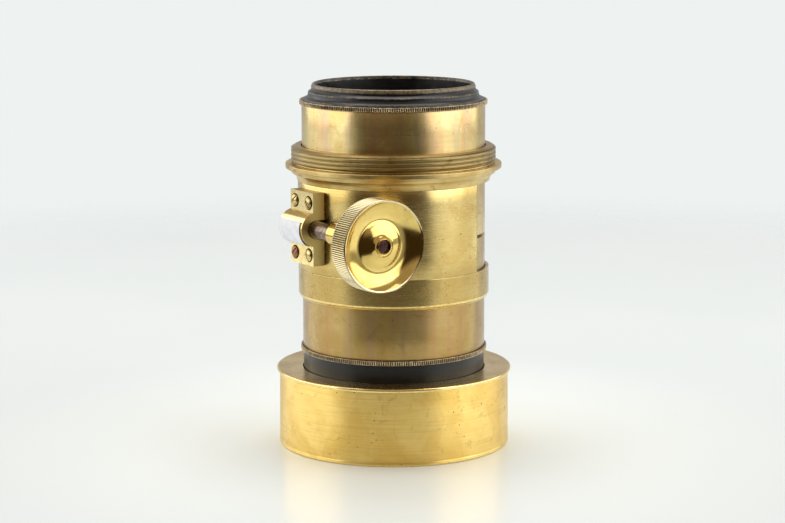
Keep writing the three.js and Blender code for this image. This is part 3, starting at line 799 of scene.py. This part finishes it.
def paper(name):
    """Gummed white paper with fibres, a faint mottle and yellowed corners."""
    s = Shader(name)
    place = s.scaled(s.place, 1 / MM)
    fibres = s.noise(place, 3.2, 5, 0.7)
    soft = s.noise(place, 0.4, 3, 0.5)
    edge = s.spread(s.attribute("edge"), 0.0, 1.0)
    colour = s.mix(s.spread(soft, 0.35, 0.7), srgb(243, 245, 252), srgb(228, 232, 242))
    colour = s.mix(s.times(edge, 0.55), colour, srgb(206, 196, 172))
    s.set(base_color=colour, roughness=0.85, normal=s.bump(fibres, 0.25, 0.05))
    s.set(sheen_weight=0.15)
    return s.material


hood_brass = brass(
    "hood_brass",
    light=srgb(243, 213, 130),
    dark=srgb(229, 193, 105),
    stain=srgb(152, 112, 58),
    stain_amount=0.3,
    roughness=0.4,
    brushing=0.7,
    line_strength=0.24,
    spots=0.8,
)
plate_brass = brass(
    "plate_brass",
    light=srgb(240, 214, 150),
    dark=srgb(210, 180, 114),
    stain=srgb(110, 84, 48),
    roughness=0.26,
    brushing=0.5,
    line_strength=0.06,
    fine_marks=0.12,
    seed=17,
)
barrel_brass = brass(
    "barrel_brass",
    light=srgb(222, 200, 134),
    dark=srgb(202, 174, 104),
    tone_by_height=(BAND_TOP - SEAT_HEIGHT - 2, BAND_TOP - SEAT_HEIGHT + 8, 0.55, srgb(162, 136, 78)),
    stain=srgb(140, 104, 56),
    roughness=0.26,
    brushing=0.65,
    line_strength=0.08,
    fine_marks=0.13,
    seed=41,
)
tube_brass = brass(
    "tube_brass",
    light=srgb(234, 212, 152),
    dark=srgb(206, 178, 112),
    stain=srgb(120, 88, 50),
    stain_amount=0.3,
    tint=[srgb(220, 168, 126), srgb(206, 204, 124), srgb(190, 160, 146)],
    tint_amount=0.42,
    tone_by_height=(BAND_BOTTOM - SEAT_HEIGHT, BAND_TOP - SEAT_HEIGHT + 20, 0.62, srgb(138, 104, 52)),
    roughness=0.29,
    brushing=0.65,
    line_strength=0.04,
    fine_marks=0.1,
    seed=73,
)
collar_brass = brass(
    "collar_brass",
    light=srgb(220, 196, 134),
    dark=srgb(190, 162, 100),
    tone_by_height=(THREAD_FOOT + 0.2, THREAD_FOOT - 0.2, 0.8, srgb(150, 132, 88)),
    stain=srgb(104, 76, 40),
    stain_amount=0.5,
    roughness=0.36,
    brushing=0.4,
    line_strength=0.2,
    spots=0.9,
    edge_wear_and_highlight=srgb(184, 166, 120),
    seed=97,
)
knob_brass = brass(
    "knob_brass",
    light=srgb(228, 201, 122),
    dark=srgb(208, 178, 98),
    stain=srgb(160, 124, 60),
    stain_amount=0.25,
    rim=(13.85, 14.0, srgb(188, 175, 136)),
    roughness=0.12,
    brushing=0.3,
    line_strength=0.03,
    spots=1.0,
    edge_wear_and_highlight=srgb(226, 214, 176),
    centre=SHAFT_CENTRE,
    axis="Y",
    seed=5,
    edge_gloss=0.02,
)
bridge_brass = brass(
    "bridge_brass",
    # painted shade on the lugs' sides
    painted_side_shade=srgb(176, 156, 96),
    light=srgb(250, 230, 170),
    dark=srgb(236, 208, 138),
    stain=srgb(170, 136, 80),
    stain_amount=0.4,
    roughness=0.2,
    brushing=0,
    line_strength=0.03,
    fine_marks=0.06,
    centre=SHAFT_CENTRE,
    axis="Y",
    seed=29,
)
screw_brass = brass(
    "screw_brass",
    light=srgb(226, 206, 142),
    dark=srgb(168, 144, 90),
    stain=srgb(84, 64, 36),
    stain_amount=0.6,
    roughness=0.2,
    brushing=0,
    spots=0.9,
    seed=3,
)
rusty_screw = brass(
    "rusty_screw",
    light=srgb(176, 128, 96),
    dark=srgb(112, 76, 58),
    stain=srgb(60, 38, 28),
    stain_amount=0.7,
    roughness=0.4,
    brushing=0,
    spots=0.9,
    seed=8,
)
black = black_lacquer("black_lacquer")
inner_black = black_lacquer("inner_black", wear=0.2, seed=50)
steel = dark_steel("dark_steel")
crown_glass = optical_glass("crown_glass", (0.93, 0.97, 0.95))
flint_glass = optical_glass("flint_glass", (0.96, 0.96, 0.9))
label_paper = paper("label_paper")

# ---------------------------------------------------------------- reliefs

LACQUER_GONE = 4  # an edge value that lays the metal bare wherever it is on the piece
LIP_RUBBED = 1.34  # and one that lays it partly bare


def knurl(count, depth, low, high, run_out=0.15, crest=1.0):
    """Straight teeth along the axis on the outer face; crest is the edge value of their tops."""

    def relief(angle, r, h, edge):
        inside = np.clip((h - low) / run_out, 0, 1) * np.clip((high - h) / run_out, 0, 1)
        outer = (r > r.max() - 0.6).astype(float)
        wave = 0.5 + 0.5 * np.cos(count * angle)
        cut = depth * (1 - wave ** 0.7) * inside * outer
        # Gaps get edge -1 and tops take crest: in brass that darkens the gaps with dirt and painted shade
        # and lightens the tops with a painted highlight.
        return r - cut, np.where(inside * outer > 0.5, (1 + crest) * wave - 1, edge)

    return relief


def thread(crest, depth, pitch, low, high):
    """A right-hand helical groove with worn crests, run out at both ends."""

    def relief(angle, r, h, edge):
        turn = ((h - low) / pitch - angle / (2 * math.pi)) % 1
        groove = np.clip(1 - np.abs(turn - 0.5) / 0.34, 0, 1)
        groove = groove * groove * (3 - 2 * groove)
        inside = np.clip((h - low) / 0.3, 0, 1) * np.clip((high - h) / 0.3, 0, 1)
        outer = (r > crest - 0.35).astype(float)
        cut = depth * groove * inside * outer
        # Grooves get edge values below zero, which in brass darken them with dirt and painted shade; crests
        # get a small positive value.
        return r - cut, np.where(outer * inside > 0.2, 0.35 - 0.85 * groove, edge)

    return relief


# ---------------------------------------------------------------- lens hood


def make_hood():
    wall = soften(
        [
            (HOOD_BORE, 0),
            (HOOD_RADIUS - 0.15, 0, 0.3),
            (HOOD_RADIUS, 0.35, 0.3),
            (HOOD_RADIUS, 1.25, 0),
            (HOOD_RADIUS - 0.04, 1.33, 0),
            (HOOD_RADIUS, 1.45, 0),
            (HOOD_TOP_RADIUS, HOOD_PLATE_BOTTOM - SEAM, 0.05),
            (HOOD_BORE, HOOD_PLATE_BOTTOM - SEAM),
        ]
    )
    turned_piece("hood_wall", hood_brass, wall, 320)
    plate = soften(
        [
            (SLEEVE_BORE, HOOD_PLATE_BOTTOM),
            (HOOD_RIM_RADIUS, HOOD_PLATE_BOTTOM, 0.4),
            (HOOD_RIM_RADIUS, HOOD_HEIGHT, 0.5),
            (SLEEVE_BORE, HOOD_HEIGHT, 0.15),
        ],
        steps=5,
    )
    turned_piece("hood_plate", plate_brass, plate, 320)
    sleeve = soften(
        [
            (SLEEVE_BORE - SLEEVE_LIP, SLEEVE_BOTTOM),
            (SLEEVE_BORE + 1, SLEEVE_BOTTOM),
            (SLEEVE_BORE + 1, HOOD_PLATE_BOTTOM - SEAM),
            (SLEEVE_BORE, HOOD_PLATE_BOTTOM - SEAM),
            (SLEEVE_BORE, SLEEVE_BOTTOM + 1),
            (SLEEVE_BORE - SLEEVE_LIP, SLEEVE_BOTTOM + 1),
        ]
    )
    turned_piece("hood_sleeve", hood_brass, sleeve)


# ---------------------------------------------------------------- cells


def knurled_band(builder, knurl_size, inner):
    radius, low, high = knurl_size
    band = soften(
        [(inner, low), (radius, low, 0.22), (radius, high, 0.22), (inner, high)],
        steps=4,
        guard=0.05,
    )
    band = [(r, h, LACQUER_GONE if r > radius - 0.4 else e) for r, h, e in band]
    relief = knurl(CELL_KNURL_COUNT, CELL_KNURL_DEPTH, low, high, 0.25, LACQUER_GONE)
    builder.turned(stepped(band, 0.3), CELL_KNURL_COUNT * 4, relief)


def make_front_cell():
    radius, low, high = FRONT_KNURL
    body = soften(
        [
            (FRONT_CELL_BORE, FRONT_CELL_BOTTOM),
            (FRONT_CELL_RADIUS, FRONT_CELL_BOTTOM),
            (FRONT_CELL_RADIUS, low - 0.02, 0.05),
            (FRONT_CELL_RADIUS - 0.3, low + 0.1, 0),
            (FRONT_CELL_RADIUS - 0.3, high - 0.1, 0),
            (SPIGOT_RADIUS, high, 0),
            (SPIGOT_RADIUS, FRONT_SPIGOT_TOP),
            (FRONT_SEAT[0], FRONT_SPIGOT_TOP),
            FRONT_SEAT,
            (FRONT_CELL_BORE, FRONT_SEAT[1]),
        ]
    )
    builder = Builder().turned(body, 256)
    knurled_band(builder, FRONT_KNURL, FRONT_CELL_RADIUS - 0.35)
    finish_piece(builder.mesh("front_cell_turned"), "front_cell_turned", "front_cell", black, sharp=40)


def make_rear_cell():
    radius, low, high = REAR_KNURL
    body = soften(
        [
            (REAR_SEAT[0], REAR_CELL_BOTTOM),
            (SPIGOT_RADIUS, REAR_CELL_BOTTOM),
            (SPIGOT_RADIUS, low - 0.02),
            (28.6, low + 0.1, 0),
            (28.6, high - 0.1, 0),
            (29.1, high, 0.05),
            (29.0, high + 0.45, 0.1),
            *plain(arc_between((29.0, high + 0.45), (27.5, high + 1.6), 0.3, 6)[:-1]),
            (27.45, high + 1.7, 0.08),
            (27.4, high + 2.5, 0.12),
            (26.6, high + 3.1, 0.1),
            (26.35, high + 3.3, 0.1),
            (26.4, REAR_CELL_TOP - 0.9, 0.3),
            (26.1, REAR_CELL_TOP - 0.2, 0.2),
            (25.75, REAR_CELL_TOP, 0.15),
            (25.4, REAR_CELL_TOP - 0.15, 0.15),
            (25.15, REAR_CELL_TOP - 0.8, 0.15),
            (REAR_CELL_BORE, 114.0, 0),
            (REAR_CELL_BORE, REAR_SEAT[1]),
            REAR_SEAT,
        ],
        steps=5,
    )
    lip = REAR_CELL_TOP - 1.3
    body = [(r, h, LIP_RUBBED if h > lip and r > 25.8 else e) for r, h, e in body]
    builder = Builder().turned(body, 256)
    knurled_band(builder, REAR_KNURL, 28.55)
    finish_piece(builder.mesh("rear_cell_turned"), "rear_cell_turned", "rear_cell", black, sharp=40)


def plain_ring(node, inner, outer, low, high):
    ring = soften([(inner, low), (outer, low), (outer, high), (inner, high)])
    turned_piece(node, inner_black, ring, 192)


def sag(surface_radius, r):
    return surface_radius - math.sqrt(surface_radius**2 - r**2)


def lens_surface(edge, front_edge, back_edge, front_radius, back_radius):
    """The two faces of a lens; a positive radius puts the middle below the edge."""

    def heights(r):
        faces = []
        for level, radius in ((front_edge, front_radius), (back_edge, back_radius)):
            fall = 0 if radius is None else sag(abs(radius), edge) - sag(abs(radius), r)
            faces.append(level - (math.copysign(fall, radius) if radius else 0))
        return faces

    return edge, heights


def make_glass():
    front_flint_back = 25.9
    front_flint_front = front_flint_back - 2.2 - sag(CEMENT_RADIUS, FRONT_GLASS_RADIUS)
    front_crown_back = front_flint_front - 0.05
    rear_flint_front = 97.9
    rear_flint_back = rear_flint_front + 5.35
    spacer_bottom = rear_flint_back + 0.1
    rear_crown_front = spacer_bottom + 0.6 + 0.7
    rear_crown_back = rear_crown_front + 1.43
    front, rear = FRONT_GLASS_RADIUS, REAR_GLASS_RADIUS
    glasses = {
        "front_crown_lens": (
            crown_glass, front, front_crown_back - 1.6, front_crown_back, 75, -CEMENT_RADIUS
        ),
        "front_flint_lens": (flint_glass, front, front_flint_front, front_flint_back, -CEMENT_RADIUS, None),
        "rear_flint_lens": (flint_glass, rear, rear_flint_front, rear_flint_back, 110, 50),
        "rear_crown_lens": (crown_glass, rear, rear_crown_front, rear_crown_back, 55, -150),
    }
    for node, (material, *shape) in glasses.items():
        name = node + "_ground"
        finish_piece(Builder().disc(lens_surface(*shape)).mesh(name), name, node, material)
    plain_ring("front_retaining_ring", 24.9, 26.7, 13.2, 16.1)
    plain_ring("rear_spacer_ring", REAR_SEAT[0], rear, spacer_bottom, spacer_bottom + 0.6)
    plain_ring("rear_retaining_ring", 23.4, 24.9, rear_crown_back + 0.4, rear_crown_back + 2.2)


# ---------------------------------------------------------------- tube and barrel


def evenly(marks, longest):
    """Rising values through the marks, with no gap wider than longest."""
    values = []
    for low, high in zip(marks, marks[1:]):
        count = max(1, math.ceil((high - low) / longest))
        values += [low + (high - low) * k / count for k in range(count)]
    return values + [marks[-1]]


def signed(angle):
    return (angle + math.pi) % (2 * math.pi) - math.pi


def make_inner_tube():
    low, high = FRONT_KNURL[2] + SEAM, REAR_KNURL[1] - SEAM
    slot_low, slot_high, slot_half = STOP_SLOT
    rack_low, rack_high, rack_half_width = RACK_SLOT
    rack_half = rack_half_width / TUBE_RADIUS
    marks = [-math.pi, -math.pi + rack_half, -slot_half, slot_half, math.pi - rack_half, math.pi]
    angles = evenly(marks, WALL_STEP)[:-1]
    heights = evenly([low, rack_low, slot_low, slot_high, rack_high, high], 8)

    def is_open(angle, height):
        turn = signed(angle)
        in_slot = abs(turn) < slot_half and slot_low < height < slot_high
        in_rack = abs(turn) > math.pi - rack_half and rack_low < height < rack_high
        return in_slot or in_rack

    data = Builder().wall(TUBE_BORE, TUBE_RADIUS, angles, heights, is_open).mesh("inner_tube_turned")
    finish_piece(data, "inner_tube_turned", "inner_tube", tube_brass, bevel=0.08)


def make_jacket():
    half = WINDOW_HALF_ANGLE
    pinion_half = PINION_HOLE[0] / BARREL_RADIUS
    hole_low, hole_high = SHAFT_HEIGHT - PINION_HOLE[1], SHAFT_HEIGHT + PINION_HOLE[1]
    marks = [-math.pi, -math.pi + pinion_half, -half, half, math.pi - pinion_half, math.pi]
    angles = evenly(marks, WALL_STEP)[:-1]
    heights = evenly([BAND_TOP + SEAM, hole_low, hole_high, COLLAR_BOTTOM - SEAM], 8)

    def is_open(angle, height):
        turn = signed(angle)
        in_pinion = abs(turn) > math.pi - pinion_half and hole_low < height < hole_high
        return abs(turn) < half or in_pinion

    data = Builder().wall(BARREL_BORE, BARREL_RADIUS, angles, heights, is_open).mesh("jacket_turned")
    finish_piece(data, "jacket_turned", "barrel_jacket", barrel_brass, bevel=0.1)


def make_end_band():
    band = soften(
        [
            (BARREL_BORE, BAND_BOTTOM),
            (BARREL_RADIUS - 0.65, BAND_BOTTOM, 0.15),
            (BARREL_RADIUS, BAND_BOTTOM + 1.0, 0.2),
            (BARREL_RADIUS, BAND_TOP, 0.08),
            (BARREL_BORE, BAND_TOP, 0.05),
        ]
    )
    turned_piece("barrel_end_band", barrel_brass, band, name="end_band_turned")


def make_collar():
    shoulder_low = SEAT_HEIGHT - 1.6
    body = [
        (BARREL_BORE, COLLAR_BOTTOM),
        (31.05, COLLAR_BOTTOM, 0.1),
        *plain(arc_between((31.15, 86.5), (32.5, 88.5), 0.35, 6)[:-1]),
        (32.55, 88.6, 0.1),
        (32.85, 88.7, 0.1),
        (33.15, 89.5, 0.2),
        (33.3, shoulder_low, 0.08),
        (SHOULDER_RADIUS, shoulder_low, 0.4),
        (SHOULDER_RADIUS, SEAT_HEIGHT, 0.3),
        (THREAD_CREST - 0.5, SEAT_HEIGHT, 0.1),
        (THREAD_CREST - 0.5, THREAD_BOTTOM, 0.05),
        (THREAD_CREST, THREAD_BOTTOM + 0.3, 0.05),
        (THREAD_CREST, THREAD_TOP - 0.35, 0),
        (31.75, COLLAR_TOP, 0.25),
        (BARREL_BORE, COLLAR_TOP, 0.12),
    ]
    profile = stepped(soften(body, steps=4, guard=0.15), 0.09)
    relief = thread(THREAD_CREST, THREAD_DEPTH, THREAD_PITCH, THREAD_BOTTOM, THREAD_TOP + 0.2)
    turned_piece("mount_collar", collar_brass, profile, 256, relief, "collar_turned", sharp=50)


# ---------------------------------------------------------------- bridge, screws and label

screw_places = [
    (y * SCREW_ACROSS, SHAFT_HEIGHT + z * SCREW_UP) for y, z in ((1, 1), (-1, 1), (1, -1), (-1, -1))
]


def make_bridge():
    w, z = BRIDGE_HALF_WIDTH, SHAFT_HEIGHT
    shaft, hole = (SHAFT_X, z), SHAFT_HOLE_RADIUS
    cuts = [
        ("UNION", bar("Y", BRIDGE_BOSS_RADIUS, -w, w, shaft)),
        ("DIFFERENCE", bar("Z", BRIDGE_INNER_RADIUS, z - 30, z + 30, (0, 0), 256)),
        ("DIFFERENCE", bar("Y", hole, -w - 1, w + 1, shaft)),
        ("DIFFERENCE", block((SHAFT_X, -w - 1, z - hole), (-28, w + 1, z + hole))),
    ]
    for y, height in screw_places:
        cuts.append(("DIFFERENCE", bar("X", SCREW_HEAD_RADIUS + 0.3, -36, -33.4, (y, height), 48)))
    body = block((BRIDGE_FACE, -w, z - BRIDGE_HALF_HEIGHT), (-28.9, w, z + BRIDGE_HALF_HEIGHT))
    data = combined(body, *cuts)
    finish_piece(data, "bridge_filed", "pinion_bridge", bridge_brass, bevel=0.16, centre=SHAFT_CENTRE)


def make_screw(index, y, height, slot_angle):
    top, rim = SCREW_TOP, SCREW_RIM
    shank_radius, shank_end = SCREW_SHANK
    dome = arc_between((SCREW_HEAD_RADIUS - 0.12, -rim), (0.001, -top), -0.22, 8)
    outline = [
        (0.001, shank_end, 0),
        (shank_radius, shank_end, 0),
        (shank_radius, SCREW_HEAD_BOTTOM, 0),
        # The head's side gets edge values below zero: dirt with painted shade round the head.
        (SCREW_HEAD_RADIUS, SCREW_HEAD_BOTTOM, -1),
        (SCREW_HEAD_RADIUS, 34.2, -1),
        (SCREW_HEAD_RADIUS, -rim - 0.12, -0.8),
        (SCREW_HEAD_RADIUS - 0.12, -rim, 0),
        *plain(dome),
    ]
    builder = Builder().turned(outline, 48)
    piece = bpy.data.objects.new("screw", builder.mesh("screw"))
    bpy.context.scene.collection.objects.link(piece)
    turn = Matrix.Rotation(-math.pi / 2, 4, "Y")
    origin = Matrix.Translation((0, 0, SEAT_HEIGHT * MM))
    place = Matrix.Translation(Vector((0, y, height - SEAT_HEIGHT)) * MM)
    piece.data.transform(place @ turn @ origin)
    half = SCREW_SLOT_HALF_WIDTH
    slot = block((top - 1, -half, -3), (top + 0.7, half, 3))
    spin = Matrix.Rotation(slot_angle, 4, "X")
    slot.data.transform(place @ spin @ origin)
    data = combined(piece, ("DIFFERENCE", slot))
    node = f"bridge_screw_{index + 1}"
    material = rusty_screw if index == RUSTY_SCREW else screw_brass
    finish_piece(data, node + "_head", node, material, bevel=0.05)


def make_label():
    """A strip of paper stuck round the boss, a little wavy, with a lifted near edge."""
    columns, rows = 40, 60
    near, far = LABEL_ENDS
    start, end = LABEL_ANGLES
    points, edges = [], []
    for layer in (0, 1):
        for i in range(columns + 1):
            for j in range(rows + 1):
                u, v = i / columns, j / rows
                y = near + (far - near) * u + 0.12 * math.sin(9 * v) * (1 - u)
                angle = start + (end - start) * v + 0.02 * math.sin(7 * u) * v
                lift = 0.14 * max(0, 1 - u * 9) ** 2 + 0.05 * math.sin(5 * u + 8 * v) ** 2
                r = LABEL_RADIUS + lift + (LABEL_THICKNESS if layer else 0)
                points.append((SHAFT_X - r * math.cos(angle), y, SHAFT_HEIGHT + r * math.sin(angle)))
                rim = min(u, 1 - u, v, 1 - v)
                edges.append(1 if rim < 0.02 else 0)
    faces = []
    step = rows + 1
    top = (columns + 1) * step
    for i in range(columns):
        for j in range(rows):
            a = i * step + j
            faces.append((a, a + 1, a + step + 1, a + step))
            faces.append((top + a, top + a + step, top + a + step + 1, top + a + 1))
    for i in range(columns):
        for j, flip in ((0, False), (rows, True)):
            a, b = i * step + j, (i + 1) * step + j
            quad = (a, b, top + b, top + a)
            faces.append(quad[::-1] if flip else quad)
    for j in range(rows):
        for i, flip in ((0, True), (columns, False)):
            a, b = i * step + j, i * step + j + 1
            quad = (a, b, top + b, top + a)
            faces.append(quad[::-1] if flip else quad)
    builder = Builder()
    builder.add(points, edges, faces)
    data = builder.mesh("label_stuck")
    work = bmesh.new()
    work.from_mesh(data)
    bmesh.ops.recalc_face_normals(work, faces=work.faces)
    work.to_mesh(data)
    work.free()
    finish_piece(data, "label_stuck", "paper_label", label_paper, centre=SHAFT_CENTRE)


# ---------------------------------------------------------------- shaft and knob


def make_shaft():
    end = -KNOB_FACE - 0.75
    body = soften(
        [
            (0.001, -SHAFT_FAR_END, 0),
            (SHAFT_RADIUS, -SHAFT_FAR_END, 0.2),
            (SHAFT_RADIUS, -SHAFT_SHOULDER, 0.15),
            (SHAFT_END_RADIUS, -SHAFT_SHOULDER, 0),
            (SHAFT_END_RADIUS, end, 0.25),
            (0.001, end + 0.12, 0),
        ]
    )
    builder = Builder().turned(body, 96)
    root, tip, half = PINION_ROOT, PINION_TIP, PINION_HALF_LENGTH
    leaves = soften([(root, -half), (tip, -half), (tip, half), (root, half)], 0.05)

    def toothed(angle, r, h, edge):
        wave = np.cos(PINION_LEAVES * angle + math.pi)
        depth = LEAF_DEPTH * (0.5 - 0.5 * np.tanh(3 * wave))
        return np.where(r > 4, r - depth, r), edge

    builder.turned(leaves, 256, toothed)
    data = builder.to_shaft().mesh("shaft_turned")
    finish_piece(data, "shaft_turned", "pinion_shaft", steel, centre=SHAFT_CENTRE)


def make_knob():
    face, back = -KNOB_FACE, -KNOB_BACK
    rim_in = (KNOB_RADIUS - KNOB_RIM_WIDTH, face - 0.05)
    crease = (KNOB_CREASE[0], face - KNOB_CREASE[1])
    dish = arc_between(rim_in, (crease[0] + 0.15, crease[1]), 0.62, 16)
    shoulder = (KNOB_SHOULDER[0], face - KNOB_SHOULDER[1])
    boss = (KNOB_BOSS[0], face - KNOB_BOSS[1])
    dome = arc_between((crease[0] - 0.15, crease[1] + 0.02), shoulder, -0.08, 10)
    nipple = arc_between(shoulder, boss, 0.12, 6)
    outline = [
        (KNOB_BORE, -KNOB_HUB_END, 0.1),
        (KNOB_HUB_RADIUS, -KNOB_HUB_END, 0.5),
        (*KNOB_NECK[0], 0),
        *plain(arc_between(*KNOB_NECK, 1.2, 10)),
        (12.6, back - 0.3, 0.2),
        (13.4, back, 0.2),
        (KNOB_RADIUS, back + 0.35, 0.15),
        (KNOB_RADIUS, face - 0.42, 0.05),
        (KNOB_RADIUS - 0.1, face - 0.32, -0.3),
        (KNOB_RADIUS - 0.1, face - 0.1, 0.0),
        (KNOB_RADIUS - 0.22, face, 0.04),
        (rim_in[0], rim_in[1] + 0.02, -0.3),
        *plain(dish),
        *plain(dome),
        *plain(nipple[:-1]),
        (*boss, 0),
        (2.4, face - 0.57, -0.2),
        (KNOB_BORE - 0.15, face - 0.95, -1),
    ]
    profile = stepped(soften(outline, steps=4, guard=0.12), 0.6)
    relief = knurl(KNOB_KNURL_COUNT, KNOB_KNURL_DEPTH, back + 0.3, face - 0.38, 0.15)
    builder = Builder().turned(profile, KNOB_KNURL_COUNT * 6, relief).to_shaft()
    finish_piece(
        builder.mesh("knob_turned"), "knob_turned", "focus_knob", knob_brass, sharp=35, centre=SHAFT_CENTRE
    )


# ---------------------------------------------------------------- pieces kept from the CAD


def finish_cad_nodes():
    """The rack and the stop guides have their true shape already; they get a finish."""
    for node, material in (
        ("focus_rack", tube_brass),
        ("front_stop_guide", inner_black),
        ("rear_stop_guide", inner_black),
    ):
        piece = frame["nodes"][node]
        piece.data.materials.clear()
        piece.data.materials.append(material)


make_hood()
make_front_cell()
make_rear_cell()
make_glass()
make_inner_tube()
make_jacket()
make_end_band()
make_collar()
make_bridge()
for number, (screw_y, screw_height) in enumerate(screw_places):
    make_screw(number, screw_y, screw_height, SCREW_SLOT_ANGLES[number])
make_label()
make_shaft()
make_knob()
finish_cad_nodes()

# ---------------------------------------------------------------- floor, light and room

FLOOR_RADIUS = 0.8
FLOOR_FADE = (0.40, 0.60)  # distances from the axis between which the paper fades out, in metres
FRONT_EDGE = (0.17, 0.21)  # the same towards the camera, where the sheet ends
ROOM = {
    "behind": (0.56, 0.58, 0.60),
    "side": (0.42, 0.42, 0.40),
    "front": (0.046, 0.028, 0.013),
    "overhead": (0.47, 0.39, 0.31),
}
DARK_EDGE = (math.cos(math.radians(58)), math.cos(math.radians(42)))  # of the dark front, sideways
DARK_TOP = (math.sin(math.radians(9)), math.sin(math.radians(25)))  # and upwards
BACKDROP = (0.855, 0.888, 0.879)


def towards_camera(s, x, y):
    """How far a place or a direction lies on the camera's side of the axis."""
    return s.plus(s.times(x, math.sin(CAMERA_AZIMUTH)), s.times(y, -math.cos(CAMERA_AZIMUTH)))


def make_floor():
    s = Shader("floor_paper")
    far = s.node("ShaderNodeVectorMath", operation="LENGTH")
    s.link(s.place, far.inputs[0])
    ahead = towards_camera(s, *s.split(s.place)[:2])
    fade = s.math("MAXIMUM", s.spread(far.outputs["Value"], *FLOOR_FADE), s.spread(ahead, *FRONT_EDGE))
    fade = s.math("MAXIMUM", fade, s.node("ShaderNodeNewGeometry").outputs["Backfacing"])
    mottle = s.noise(s.place, 6, 2, 0.5)
    tone = s.mix(s.spread(mottle, 0.3, 0.7), (0.665, 0.73, 0.75), (0.685, 0.745, 0.765))
    # Paler paper within 0.06 to 0.15 m of the axis: painted light that lifts the floor's shade around the
    # lens.
    tone = s.mix(s.spread(far.outputs["Value"], 0.06, 0.15, 1.0, 0.0), tone, (0.78, 0.845, 0.845))
    s.set(base_color=tone, roughness=0.22, specular_ior_level=0.4)
    clear = s.node("ShaderNodeBsdfTransparent")
    blend = s.node("ShaderNodeMixShader")
    s.link(fade, blend.inputs[0])
    s.link(s.bsdf.outputs[0], blend.inputs[1])
    s.link(clear.outputs[0], blend.inputs[2])
    s.link(blend.outputs[0], s.output.inputs["Surface"])
    work = bmesh.new()
    bmesh.ops.create_grid(work, x_segments=8, y_segments=8, size=FLOOR_RADIUS)
    data = bpy.data.meshes.new("floor")
    work.to_mesh(data)
    work.free()
    data.materials.append(s.material)
    floor = bpy.data.objects.new("floor", data)
    floor.location.z = (-SEAT_HEIGHT - 0.02) * MM
    bpy.context.scene.collection.objects.link(floor)


def softbox(name, azimuth, elevation, distance, size, radiance):
    """A rectangular light that faces the object; azimuth is measured from the camera's side."""
    data = bpy.data.lights.new(name, "AREA")
    data.shape = "RECTANGLE"
    data.size, data.size_y = size
    data.energy = radiance * math.pi * size[0] * size[1]
    light = bpy.data.objects.new(name, data)
    turn = Matrix.Rotation(CAMERA_AZIMUTH + math.radians(azimuth), 4, "Z")
    lift = Matrix.Rotation(-math.radians(elevation), 4, "X")
    place = Matrix.Translation((0, -distance, 0)) @ Matrix.Rotation(math.pi / 2, 4, "X")
    light.matrix_world = turn @ lift @ place
    light.visible_camera = False
    bpy.context.scene.collection.objects.link(light)


class RoomShader(Shader):
    """The world's nodes, with the same short names."""

    def __init__(self, world):
        world.use_nodes = True
        self.tree = world.node_tree
        self.tree.nodes.clear()
        self.output = self.node("ShaderNodeOutputWorld")


def make_room():
    """A pale room, dark where the photographer stands: low down, on the camera's side."""
    world = bpy.data.worlds.new("room")
    bpy.context.scene.world = world
    s = RoomShader(world)
    x, y, up = s.split(s.node("ShaderNodeTexCoord").outputs["Generated"])
    towards = s.math("DIVIDE", towards_camera(s, x, y), s.length(x, y))
    sideways = s.spread(towards, *DARK_EDGE)
    behind = s.spread(s.times(towards, -1), 0.0, 0.4)
    above = s.spread(up, *DARK_TOP)
    colour = s.mix(behind, ROOM["side"], ROOM["behind"])
    colour = s.mix(sideways, colour, ROOM["front"])
    colour = s.mix(above, colour, ROOM["overhead"])
    lit = s.node("ShaderNodeBackground")
    s.link(colour, lit.inputs["Color"])
    backdrop = s.node("ShaderNodeBackground")
    s.put(backdrop.inputs["Color"], BACKDROP)
    choose = s.node("ShaderNodeMixShader")
    s.link(s.node("ShaderNodeLightPath").outputs["Is Camera Ray"], choose.inputs[0])
    s.link(lit.outputs[0], choose.inputs[1])
    s.link(backdrop.outputs[0], choose.inputs[2])
    s.link(choose.outputs[0], s.output.inputs["Surface"])


make_floor()
make_room()
softbox("left_softbox", -96, 17, 0.9, (1.5, 0.6), 1.7)
softbox("left_softbox_core", -80, 17, 0.88, (0.7, 0.6), 0.25)
softbox("left_ceiling", -90, 62, 0.9, (0.9, 0.25), 1.4)
softbox("right_softbox", 84, 17, 0.9, (1.6, 0.6), 1.7)
softbox("right_softbox_core", 70, 17, 0.88, (0.7, 0.6), 0.6)
softbox("right_ceiling", 85, 62, 0.9, (0.9, 0.25), 1.4)
softbox("top_softbox", 180, 70, 1.0, (0.8, 0.6), 4.5)
bpy.context.scene.view_settings.view_transform = "Standard"
